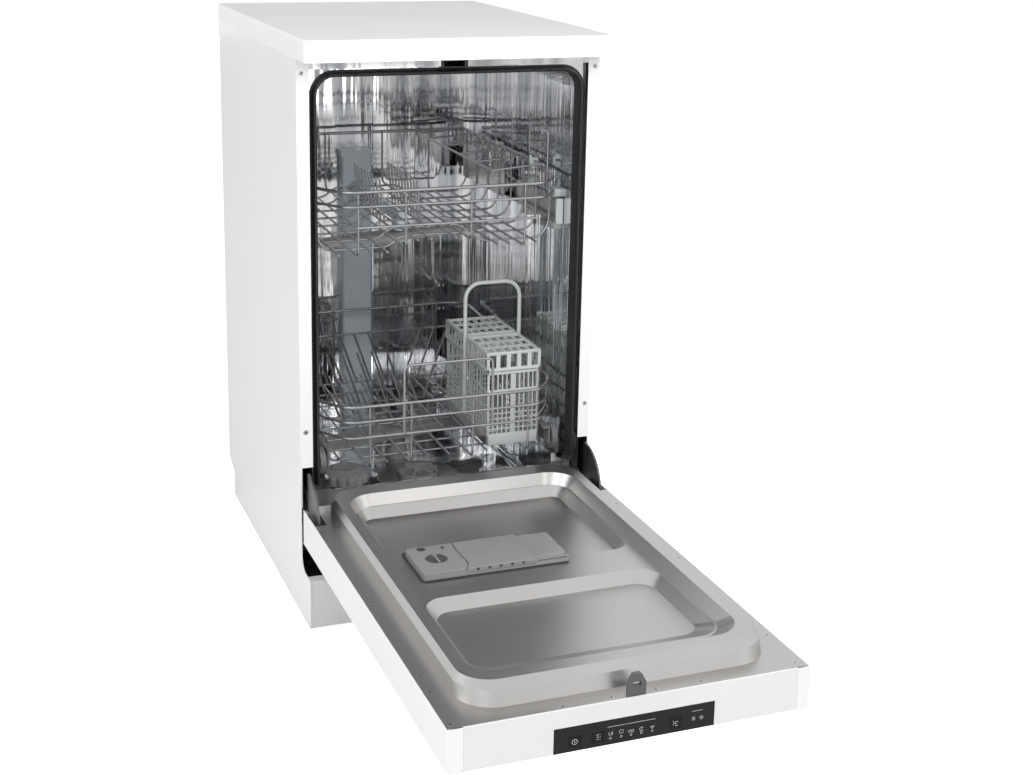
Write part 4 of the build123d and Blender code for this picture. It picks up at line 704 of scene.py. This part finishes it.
def pierced(shape, place, across, up, thick):
    """A flat panel with an opening where an open strip across meets an open strip up."""
    grid = [[shape.verts.new(place @ (Vector((u, v, 0)) * MM)) for v in up[0]] for u in across[0]]
    faces = []
    for i, open_across in enumerate(across[1]):
        for j, open_up in enumerate(up[1]):
            if not (open_across and open_up):
                corners = grid[i][j], grid[i + 1][j], grid[i + 1][j + 1], grid[i][j + 1]
                faces.append(shape.faces.new(corners))
    bmesh.ops.recalc_face_normals(shape, faces=faces)
    bmesh.ops.solidify(shape, geom=faces, thickness=thick * MM)


SIDEWAYS = Matrix.Rotation(pi / 2, 4, "Z") @ Matrix.Rotation(pi / 2, 4, "X")
UPRIGHT = Matrix.Rotation(pi / 2, 4, "X")
PLATE_X, PLATE_THICK = 182, 1.6
PLATE_LENGTH = ([20, 70, 170, 220], [False, True, False])
PLATE_HEIGHT = ([552, 590, 616, 629], [False, True, False])
ROLLER_Y, ROLLER_Z = (40, 200), 572
ROLLER_PIN = ((8, 0), (8, 0.8), (4, 1.2), (4, 9.2), (3.2, 9.8), (0, 9.8))
CLIPS_Y = (-115, 36, 112)
plates, clips = bmesh.new(), bmesh.new()
for side in (-1, 1):
    place = placed(side * PLATE_X, 0, 0, SIDEWAYS)
    pierced(plates, place, PLATE_LENGTH, PLATE_HEIGHT, PLATE_THICK)
    outward = Matrix.Rotation(side * pi / 2, 4, "Y")
    for roller_y in ROLLER_Y:
        turned(plates, placed(side * PLATE_X, roller_y, ROLLER_Z, outward), ROLLER_PIN, 20)
for clip_y in CLIPS_Y:
    slab(clips, 172.5, 184, clip_y - 5, clip_y + 5, 624, 641, 1.8)
    slab(clips, 170.8, 174, clip_y - 2.5, clip_y + 2.5, 628, 645, 1.2)
built("roller_plates", plates, RAIL_STEEL, "upper_rack", "stainless")
built("shelf_clips", clips, PALE_PLASTIC, "upper_rack", "light_plastic")

# Cup shelf. A wire flap over the rack's right side, with a square wave of wire
# that keeps stemmed glasses apart.
SHELF_AXIS_X, SHELF_AXIS_Z = 176.5, 637
SHELF_EDGE_X, SHELF_EDGE_Z = 95, 631
SHELF_FRONT, SHELF_REAR = -152, 205
SHELF_BARS_Y = (SHELF_FRONT, -78, -2, 74, 150, SHELF_REAR)
WAVE_X, WAVE_LOW, WAVE_HIGH, WAVE_PITCH, WAVE_STEPS = 138, 634, 652, 19, 18
shelf = wire_curve("cup_shelf_wires")
for x, z in ((SHELF_EDGE_X, SHELF_EDGE_Z), (SHELF_AXIS_X, SHELF_AXIS_Z)):
    lay_wire(shelf, [(x, SHELF_FRONT - 6, z), (x, SHELF_REAR + 6, z)], EDGE_WIRE)
for y in SHELF_BARS_Y:
    lay_wire(shelf, [(SHELF_EDGE_X, y, SHELF_EDGE_Z), (SHELF_AXIS_X, y, SHELF_AXIS_Z)])
wave = []
for step in range(WAVE_STEPS):
    y = SHELF_FRONT + 4 + WAVE_PITCH * step
    heights = (WAVE_LOW, WAVE_HIGH) if step % 2 == 0 else (WAVE_HIGH, WAVE_LOW)
    wave += [(WAVE_X, y, height) for height in heights]
lay_wire(shelf, wave, FINE_WIRE, 5)
shelf_wires = weld_wires(shelf, WIRE_COAT, "shelf", "cup_shelf")

# Lower rack. The same wire work with leaning tines for plates and a bail handle
# in front.
LOWER_FRONT, LOWER_REAR = -238, 215
LOWER_RING, LOWER_RISE, LOWER_FLOOR, LOWER_MID = 309, 18, 210, 262
LOWER_CROSS_Y = (-180, -140, -95, -45, 5, 65, 120, 175)
LOWER_LONG_X = (-117, -54, 42, 130)
LOWER_FLOOR_X = (-150, -85, -20, 12, 72, 101, 155)
TINE_TOP, TINE_LEAN = 297, 30
LEFT_TINES_X, RIGHT_TINES_X = (-99, -74, -49, -24, 1, 26), (60, 85, 110, 135)
SHORT_TINE_Y, SHORT_TINE_TOP, SHORT_TINE_LEAN = 5, 252, 16
BAIL_LEFT, BAIL_RIGHT, BAIL_TOP, BAIL_WIRE = -66, 71, 366, 4.4
lower = wire_curve("lower_rack_wires")
rim = rim_route(LOWER_FRONT, LOWER_REAR, LOWER_RING, LOWER_RING + LOWER_RISE)
lay_wire(lower, rim, RIM_WIRE, 16, closed=True)
second_rim = rim_route(LOWER_FRONT, LOWER_REAR, LOWER_RING - 23, LOWER_RING - 25)
lay_wire(lower, second_rim, EDGE_WIRE, 16, closed=True)
lay_wire(lower, front_route(LOWER_FRONT, LOWER_MID), EDGE_WIRE, 14)
for y in LOWER_CROSS_Y:
    top = rim_height(y, LOWER_REAR, LOWER_RING, LOWER_RING + LOWER_RISE)
    half = [(180.5, top), (180.5, LOWER_MID), (167, 246), (163.5, LOWER_FLOOR)]
    lay_wire(lower, cross_route(y, half), WIRE, 8)
low = LOWER_FLOOR + STACK
for x in LOWER_LONG_X:
    route = long_route(x, low, LOWER_FRONT, LOWER_REAR, LOWER_RING, LOWER_RING + LOWER_RISE)
    lay_wire(lower, route, WIRE, 10)
for x in LOWER_FLOOR_X:
    lay_wire(lower, [(x, LOWER_FRONT + 23, low), (x, LOWER_REAR - 23, low)])
for columns, rows, lean in (
    (LEFT_TINES_X, (175, 65, -45), -TINE_LEAN), (RIGHT_TINES_X, (175, 65), TINE_LEAN),
):
    for y in rows:
        for x in columns:
            lay_wire(lower, [(x, y, LOWER_FLOOR), (x + lean, y, TINE_TOP)], TINE_WIRE)
for x in LEFT_TINES_X:
    tip = (x - SHORT_TINE_LEAN, SHORT_TINE_Y, SHORT_TINE_TOP)
    lay_wire(lower, [(x, SHORT_TINE_Y, LOWER_FLOOR), tip], TINE_WIRE)
bail = [
    (BAIL_LEFT, LOWER_FRONT, LOWER_MID), (BAIL_LEFT, LOWER_FRONT, BAIL_TOP),
    (BAIL_RIGHT, LOWER_FRONT, BAIL_TOP), (BAIL_RIGHT, LOWER_FRONT, LOWER_MID),
]
lay_wire(lower, bail, BAIL_WIRE, 9)
lower_wires = weld_wires(lower, WIRE_COAT, "lower_rack", "lower_rack_frame")

# Cutlery basket. A pale moulded lattice on a solid foot, with thicker posts, a
# floor of bars and an arch handle whose legs run down outside the walls.
BASKET_PLASTIC = finish(
    "basket_moulding", (0.54, 0.56, 0.555), (0.62, 0.64, 0.635),
    roughness=0.34, density=1300, depth=0.15, spread=0.12, coat=0.1,
)
BASKET_LEFT, BASKET_MIDDLE, BASKET_RIGHT = 76, 118, 160
BASKET_FRONT, BASKET_REAR = -203, -9
BASKET_LOW, FOOT_TOP, BASKET_HIGH = 214.4, 231, 331
HANDLE_Y = -105
END_WALL, SIDE_WALL, POST, BAND = 1.8, 1.0, 3.4, 3
SIDE_BAYS = 4
tiers = joined(
    ([BASKET_LOW, FOOT_TOP], [False]), slots(FOOT_TOP, 273, 1.6, 5, 1.8),
    slots(273, 300, 1.6, 1, 1.8), slots(300, BASKET_HIGH, 2, 1, 2),
)
tiers[0][-1] = BASKET_HIGH
bays = joined(
    slots(BASKET_LEFT, BASKET_MIDDLE, 4, 5, 1.9), slots(BASKET_MIDDLE, BASKET_RIGHT, 4, 5, 1.9),
)
bay = (BASKET_REAR - BASKET_FRONT) / SIDE_BAYS
bay_starts = [BASKET_FRONT + bay * index for index in range(SIDE_BAYS)]
flank = joined(*(slots(start, start + bay, 3.4, 4, 2.0) for start in bay_starts))
basket = bmesh.new()
for y in (BASKET_FRONT + 1, BASKET_REAR - 1):
    pierced(basket, placed(0, y, 0, UPRIGHT), bays, tiers, END_WALL)
for x in (BASKET_LEFT + 1, BASKET_RIGHT - 1):
    pierced(basket, placed(x, 0, 0, SIDEWAYS), flank, tiers, SIDE_WALL)
floor_bays = slots(BASKET_LEFT + 1, BASKET_RIGHT - 1, 3, 8, 2.6)
floor_rows = slots(BASKET_FRONT + 1, BASKET_REAR - 1, 3, 18, 2.6)
pierced(basket, placed(0, 0, BASKET_LOW + 1.2), floor_bays, floor_rows, END_WALL)
for x in (BASKET_LEFT, BASKET_RIGHT - POST):
    for y in (BASKET_FRONT, BASKET_REAR - POST):
        slab(basket, x, x + POST, y, y + POST, BASKET_LOW, BASKET_HIGH, 1.2)
for x in (BASKET_LEFT, BASKET_RIGHT - BAND):
    for low, high in ((BASKET_HIGH - 5, BASKET_HIGH), (BASKET_LOW, BASKET_LOW + 16)):
        slab(basket, x, x + BAND, BASKET_FRONT, BASKET_REAR, low, high, 0.9)
for y in (BASKET_FRONT, BASKET_REAR - BAND):
    for low, high in ((BASKET_HIGH - 5, BASKET_HIGH), (BASKET_LOW, BASKET_LOW + 16)):
        slab(basket, BASKET_LEFT, BASKET_RIGHT, y, y + BAND, low, high, 0.9)
bar_front, bar_rear = HANDLE_Y - 4.5, HANDLE_Y + 4.5
slab(basket, BASKET_LEFT, BASKET_RIGHT, bar_front, bar_rear, BASKET_HIGH - 6, 361, 1.2)
built("basket_lattice", basket, BASKET_PLASTIC, "basket", "light_plastic", "cutlery_basket")

LEG_LEFT, LEG_RIGHT, LEG_FOOT, ARCH_TOP, LEG_WIRE = 73.2, 162.8, 237, 445.6, 6.4
handle = wire_curve("basket_handle")
handle.bevel_resolution = 3
arch = [
    (LEG_LEFT, HANDLE_Y, LEG_FOOT), (LEG_LEFT, HANDLE_Y, ARCH_TOP),
    (LEG_RIGHT, HANDLE_Y, ARCH_TOP), (LEG_RIGHT, HANDLE_Y, LEG_FOOT),
]
lay_wire(handle, arch, LEG_WIRE, 24)
built_handle = weld_wires(handle, BASKET_PLASTIC, "basket")

# Basket lids. Two caps with wide slots in their sides and rows of holes on top,
# each on a bar beside the handle.
LID_LEFT, LID_RIGHT, LID_LOW, LID_TOP = 74.2, 161.8, 332, 362
LID_RISE = ([LID_LOW, 337, 357.5, LID_TOP], [False, True, False])
LID_BAR = ((0, 0), (1.5, 0), (1.5, 80), (0, 80))
ACROSS = Matrix.Rotation(pi / 2, 4, "Y")
for lid_name, lid_body, front, rear, bar_y in (
    ("basket_lid_front", "front_lid", BASKET_FRONT - 2, HANDLE_Y - 6.5, HANDLE_Y - 9),
    ("basket_lid_rear", "rear_lid", HANDLE_Y + 6.5, BASKET_REAR + 2, HANDLE_Y + 9),
):
    lid = bmesh.new()
    ends = slots(75.5, 160.5, 3.6, 5, 6.4)
    sides = slots(front + 1.6, rear - 1.6, 4, 6, 4.6)
    top_columns, top_rows = slots(75.8, 160.2, 5, 6, 4.2), slots(front + 2, rear - 2, 6, 3, 8)
    for y in (front + 1.6, rear - 1.6):
        pierced(lid, placed(0, y, 0, UPRIGHT), ends, LID_RISE, 1.8)
    for x in (75.6, 160.4):
        pierced(lid, placed(x, 0, 0, SIDEWAYS), sides, LID_RISE, 1.1)
    pierced(lid, placed(0, 0, LID_TOP - 0.9), top_columns, top_rows, 1.7)
    for x in (LID_LEFT, LID_RIGHT - POST):
        slab(lid, x, x + POST, front + 0.6, front + 4, LID_LOW + 0.4, LID_TOP - 0.4, 1.2)
        slab(lid, x, x + POST, rear - 4, rear - 0.6, LID_LOW + 0.4, LID_TOP - 0.4, 1.2)
        slab(lid, x, x + POST, front + 0.6, rear - 0.6, LID_TOP - POST, LID_TOP, 1.1)
        slab(lid, x - 0.6, x + 4, front, rear, LID_LOW, LID_LOW + 4.4, 0.8)
    for y in (front, rear - POST):
        slab(lid, 74.4, 161.6, y + 0.6, y + 3, LID_TOP - POST, LID_TOP, 1.1)
        slab(lid, 73.6, 162.4, y, y + POST, LID_LOW, LID_LOW + 4.4, 0.8)
    turned(lid, placed(78, bar_y, 360.5, ACROSS), LID_BAR, 16)
    built(lid_name + "_cap", lid, BASKET_PLASTIC, lid_body, "light_plastic", lid_name)

# Hinges. Steel arms that the door hangs on, under black covers. The arms and
# springs are drawn nearly black: painted shade.
SHADED_ARM_STEEL = finish(
    "hinge_steel_painted_shade", (0.10, 0.102, 0.10), (0.19, 0.192, 0.19),
    roughness=0.33, density=600, depth=0.3, spread=0.25, metallic=0.9, cloud=30,
)
dress(SHADED_ARM_STEEL, "hinge_arms", "door_springs")
BLACK_PLASTIC = finish(
    "black_moulding", (0.012, 0.012, 0.013), (0.022, 0.022, 0.024),
    roughness=0.38, density=1500, depth=0.2, spread=0.15,
)
dress(BLACK_PLASTIC, "hinge_covers")

# Door. A white enamelled skin, with a white moulded console at its end.
dress(ENAMEL, "door_panel")
dress(WHITE_PLASTIC, "console")
GLASS = finish(
    "dark_glass", (0.012, 0.012, 0.013), (0.016, 0.016, 0.017),
    roughness=0.3, density=300, depth=0.02, spread=0.05,
)
dress(GLASS, "control_glass")
KEY_GLASS = finish(
    "key_glass", (0.006, 0.006, 0.007), (0.009, 0.009, 0.01),
    roughness=0.34, density=300, depth=0.02, spread=0.05,
)
dress(KEY_GLASS, "power_button", "program_button", "option_button")
DULL_SHINE = 0.2
for material in (GLASS, KEY_GLASS):
    shader = material.node_tree.nodes["Principled BSDF"]
    shader.inputs["Specular IOR Level"].default_value = DULL_SHINE

# Printed marks. Pale symbols on the keys and the glass: power, programme list,
# five programme symbols, an option and two lamps.
PRINT = finish(
    "pale_print", (0.62, 0.63, 0.64), (0.70, 0.71, 0.72),
    roughness=0.5, density=900, depth=0.05, spread=0.05,
)
GLASS_FACE, PRINT_FLATNESS = -908, 0.15


def arc(x, z, radius, start=0, end=360, steps=16):
    """Points of an arc on the console's face."""
    angles = [radians(start + (end - start) * step / steps) for step in range(steps + 1)]
    return [(x + radius * cos(angle), z + radius * sin(angle)) for angle in angles]


def print_marks(name, strokes, body, width=0.6):
    """Lay strokes flat on the glass, as printed lines."""
    curve = bpy.data.curves.new(name, "CURVE")
    curve.dimensions = "3D"
    curve.bevel_depth = width / 2 * MM
    curve.bevel_resolution = 1
    curve.use_fill_caps = True
    for stroke in strokes:
        spline = curve.splines.new("POLY")
        spline.points.add(len(stroke) - 1)
        for point, (x, z) in zip(spline.points, stroke):
            point.co = (x * MM, 0, z * MM, 1)
    printed = weld_wires(curve, PRINT, body)
    for vert in printed.data.vertices:
        vert.co.y = GLASS_FACE * MM + vert.co.y * PRINT_FLATNESS


LIST_Z = (128.4, 131.2, 134)
LAMP_Z = (130.6, 132.2, 133.8)
power = [arc(-74, 130.6, 3.1), [(-74, 129.2), (-74, 132)]]
program = [[(-47.8, z), (-44.4, z)] for z in LIST_Z] + [[(-43.4, z), (-42.8, z)] for z in LIST_Z]
option = [
    [(47, 134), (48.6, 131), (47, 129)], arc(51.5, 131.2, 1.7, 0, 270),
    [(49.4, 127.6), (53.4, 127.6)],
]
tray = [(-19.6, 134.8), (-15.2, 134.8), (-15.2, 131), (-19.6, 131), (-19.6, 134.8)]
pictograms = [
    [(-34.5, 141.2), (24.5, 141.2)],
    [(-32.5, 134.6), (-32.5, 131), (-29.5, 131), (-29.5, 134.6)],
    [(-28.2, 135), (-28.2, 130.6)], arc(-30.6, 127, 1.2),
    tray, arc(-17.4, 127, 1.2),
    arc(-7, 131.4, 1.5, 0, 200), arc(-3.6, 131.4, 1.5, -20, 180), [(-8.6, 130), (-2, 130)],
    arc(-5.2, 126.8, 1.1),
    arc(7.6, 131.6, 2.3, 40, 330), [(7.6, 131.6), (9.6, 133.6)], arc(7.6, 126.8, 1.1),
    [(18.6, 132.4), (23.6, 132.4)], arc(21.1, 132.4, 1.9, 180, 360), [(21.1, 130.4), (21.1, 128.8)],
    arc(21.1, 126.6, 0.9),
    [(70.6, 141.6), (84.4, 141.6)], *([(71, z), (75, z)] for z in LAMP_Z),
    arc(83, 132.2, 1.9), [(83, 131.4), (83, 133)],
]
print_marks("mark_power", power, "power_key", 0.65)
print_marks("mark_programs", program, "program_key", 0.6)
print_marks("mark_option", option, "option_key", 0.55)
print_marks("mark_pictograms", pictograms, "door", 0.5)
BOARD = finish(
    "board_lacquer", (0.02, 0.11, 0.05), (0.03, 0.15, 0.07),
    roughness=0.35, density=900, depth=0.2, spread=0.1,
)
dress(BOARD, "control_board")

# Door liner. Brushed stainless sheet, pressed in one piece.
LINER_STEEL = finish(
    "brushed_steel", (0.47, 0.46, 0.45), (0.56, 0.55, 0.54),
    roughness=0.33, density=(40, 2600, 2600), depth=0.05, spread=0.10, metallic=1.0, cloud=4,
)
dress(LINER_STEEL, "door_liner")
LINER_FACE = 172
DOOR_SCREWS = (
    (-214, -381), (-215, -582), (-215, -784), (-215, -821), (-216, -897),
    (214, -381), (215, -582), (215, -784), (215, -821), (212, -893),
    (-86, -900), (-27, -899), (28, -899), (85, -899),
)
door_screws = [placed(x, y, LINER_FACE) for x, y in DOOR_SCREWS]
screw_heads("door_screw_heads", door_screws, DOOR_HEAD, FLUSH_HEAD, "door", "door_screws")
STRIKER = finish(
    "striker_moulding", (0.075, 0.075, 0.08), (0.12, 0.12, 0.125),
    roughness=0.35, density=1200, depth=0.2, spread=0.15,
)
dress(STRIKER, "door_striker")

# Dispenser. A grey moulded body let into the door, with a detergent cup under a
# lid that slides along a groove, and a dark dial in its raised left end.
DISPENSER = finish(
    "dispenser_moulding", (0.225, 0.223, 0.22), (0.27, 0.268, 0.265),
    roughness=0.42, density=1300, depth=0.18, spread=0.12,
)
DIAL_PLASTIC = finish(
    "dial_moulding", (0.045, 0.047, 0.05), (0.07, 0.072, 0.075),
    roughness=0.4, density=1400, depth=0.2, spread=0.15,
)
BODY_LEFT, BODY_RIGHT, BODY_FRONT, BODY_REAR = -140, 62, -565, -481
CUP_LEFT, CUP_RIGHT, CUP_FRONT, CUP_REAR = -72, -8, -547, -488
BODY_FOOT, CUP_FLOOR, HEAD_FOOT, TRACK_TOP, RAISED_TOP = 152, 156, 182, 189.4, 191.8
TRACK_LEFT, SEAM_WIDTH, MARK_PROUD = -79, 1.8, 0.12
SEAM = (
    (-74, BODY_REAR), (-76, -490), (-77, -504), (-76.2, -522), (-75, -539), (-75.8, -550),
    (-79, -558),
)
DIAL_X, DIAL_Y, DIAL_RADIUS = -110, -525, 15


def edges_above(shape, height):
    """Edges whose ends both lie at a height, in millimetres, or above it."""
    least = (height - 0.01) * MM
    return [edge for edge in shape.edges if all(vert.co.z > least for vert in edge.verts)]


def prism(shape, place, outline, low, high, bevel=0.0, rounded=()):
    """Raise a flat outline into a block, with some corners rounded and its top rim eased."""
    block = bmesh.new()
    verts = [block.verts.new((x * MM, y * MM, low * MM)) for x, y in outline]
    block.faces.new(verts)
    for corner, radius in rounded:
        eased(block, [verts[corner]], radius, 5, "VERTICES")
    raised = bmesh.ops.extrude_face_region(block, geom=block.faces[:])["geom"]
    tops = [part for part in raised if isinstance(part, bmesh.types.BMVert)]
    bmesh.ops.translate(block, vec=(0, 0, (high - low) * MM), verts=tops)
    bmesh.ops.recalc_face_normals(block, faces=block.faces)
    if bevel:
        eased(block, edges_above(block, high), bevel, 3)
    bmesh.ops.transform(block, matrix=place, verts=block.verts)
    part = bpy.data.meshes.new("part")
    block.to_mesh(part)
    block.free()
    shape.from_mesh(part)
    bpy.data.meshes.remove(part)


shell = bmesh.new()
slab(shell, TRACK_LEFT, BODY_RIGHT, BODY_FRONT + 7.4, BODY_REAR, BODY_FOOT, TRACK_TOP)
for cut, across in (
    (CUP_LEFT, (1, 0, 0)), (CUP_RIGHT, (1, 0, 0)), (CUP_FRONT, (0, 1, 0)), (CUP_REAR, (0, 1, 0)),
):
    bmesh.ops.bisect_plane(
        shell, geom=shell.verts[:] + shell.edges[:] + shell.faces[:],
        plane_co=Vector(across) * cut * MM, plane_no=across,
    )
shell.normal_update()
mouth = [
    face for face in shell.faces
    if face.normal.z > UPWARD and CUP_LEFT < face.calc_center_median().x / MM < CUP_RIGHT
    and CUP_FRONT < face.calc_center_median().y / MM < CUP_REAR
]
sunk = bmesh.ops.extrude_discrete_faces(shell, faces=mouth)["faces"]
bmesh.ops.translate(shell, vec=(0, 0, (CUP_FLOOR - TRACK_TOP) * MM), verts=sunk[0].verts)
shell.normal_update()
eased(shell, [edge for edge in edges_above(shell, TRACK_TOP) if edge.calc_face_angle(0) > 0.5], 0.6)
strip_front, strip_rear = BODY_FRONT + 2.4, BODY_FRONT + 5.8
front_strip = [
    (TRACK_LEFT, strip_front), (BODY_RIGHT, strip_front), (BODY_RIGHT, strip_rear),
    (TRACK_LEFT, strip_rear),
]
prism(shell, HERE, front_strip, BODY_FOOT, TRACK_TOP, 0.7)
slab(shell, TRACK_LEFT, BODY_RIGHT, strip_front + 1, strip_rear + 3, BODY_FOOT, TRACK_TOP - 3)
slab(
    shell, BODY_RIGHT - 5, BODY_RIGHT, strip_front + 0.6, strip_rear + 4, BODY_FOOT, TRACK_TOP, 0.5,
)
ledge = [
    (-90, BODY_FRONT + 0.4), (BODY_RIGHT - 0.4, BODY_FRONT + 0.4), (BODY_RIGHT - 0.4, -545),
    (-90, -545),
]
prism(shell, HERE, ledge, HEAD_FOOT, HEAD_FOOT + 3, 0.4)
head = [(BODY_LEFT, BODY_FRONT), (-82, BODY_FRONT), *reversed(SEAM), (BODY_LEFT, BODY_REAR)]
prism(shell, HERE, head, HEAD_FOOT, RAISED_TOP, 1.1, ((0, 5), (len(head) - 1, 5)))
built("dispenser_shell", shell, DISPENSER, "door", "light_plastic", "dispenser_body")

# Near-black pieces on the dispenser. The slit in the front strip is painted shade in an opening;
# the sight disc and the drop are small dark marks on the raised end.
hollows = bmesh.new()
sight = [(6.2, -0.5), (6.2, MARK_PROUD), (0, MARK_PROUD)]
turned(hollows, placed(-120, -490, RAISED_TOP), sight, 28)
drop = [(-92.8, -497), (-89.4, -496.2), (-89.6, -491.4), (-91.4, -486.8), (-93.4, -491.4)]
prism(hollows, HERE, drop, RAISED_TOP - 0.5, RAISED_TOP + MARK_PROUD)
slit = [(19, 187), (58, 187), (58, 189), (54, 187.9), (19, 187.9)]
prism(hollows, placed(0, strip_front, 0, UPRIGHT), slit, -0.4, MARK_PROUD)
# The foot reaches past the body on every side, as painted shade in the gap between the dispenser
# and the liner.
foot_left, foot_right, foot_rear = BODY_LEFT - 2, BODY_RIGHT + 1, -471.5
foot = [
    (foot_left, BODY_FRONT + 1), (foot_right, BODY_FRONT + 1), (foot_right, foot_rear),
    (foot_left, foot_rear),
]
prism(hollows, HERE, foot, BODY_FOOT, HEAD_FOOT, 0.3, ((0, 4), (1, 3), (2, 3), (3, 4)))
built("dispenser_hollows", hollows, SHADE_AND_MARKS, "door", "black_plastic")

cover = bmesh.new()
COVER_RIGHT = 15
edge_line = [(x + SEAM_WIDTH, y) for x, y in SEAM[:-1]]
top = [
    (-78, -559), (-80, BODY_FRONT), (COVER_RIGHT, BODY_FRONT), (COVER_RIGHT, BODY_REAR + 2),
    (4, BODY_REAR + 2), (2, BODY_REAR), *edge_line,
]
prism(cover, HERE, top, TRACK_TOP + 0.25, RAISED_TOP, 0.8)
band_top = RAISED_TOP - 0.7
band = [(-83, 185.4), (COVER_RIGHT, 185.4), (COVER_RIGHT, band_top), (-79.6, band_top)]
prism(cover, placed(0, BODY_FRONT + 2, 0, UPRIGHT), band, 0, 2.2, 0.5)
built("dispenser_cover", cover, DISPENSER, "detergent_lid", "light_plastic", "dispenser_lid")
levels = bmesh.new()
for x in (-66, -50.3, -34.6, -18.9, -3.2):
    mark = [(x - 3.1, 190.6), (x, 186.2), (x + 3.1, 190.6)]
    prism(levels, placed(0, BODY_FRONT - 0.1, 0, UPRIGHT), mark, 0, 0.25)
built("cover_level_marks", levels, SHADE_AND_MARKS, "detergent_lid", "black_plastic")

dial_place = placed(DIAL_X, DIAL_Y, RAISED_TOP - 0.2)
dish = [(DIAL_RADIUS, -0.6), (DIAL_RADIUS, 0.5), (DIAL_RADIUS - 0.8, 0.9), (0, 0.9)]
collar = [
    (DIAL_RADIUS + 1.2, 0), (DIAL_RADIUS + 1, 0.7), (DIAL_RADIUS, 0.9), (DIAL_RADIUS - 0.4, 0.4),
]
tail, tip = 1 - DIAL_RADIUS, DIAL_RADIUS - 1
pointer = [(-1.2, tail), (1.2, tail), (1.2, 7), (3, 9), (0, tip), (-3, 9), (-1.2, 7)]
disc, grip = bmesh.new(), bmesh.new()
turned(disc, dial_place, dish, 40)
turned(grip, dial_place, collar, 40)
prism(grip, dial_place, pointer, 0, 3.2, 0.5)
built("dial_disc", disc, DIAL_PLASTIC, "rinse_dial", "dark_plastic", "rinse_aid_dial")
built("dial_grip", grip, DISPENSER, "rinse_dial", "light_plastic")
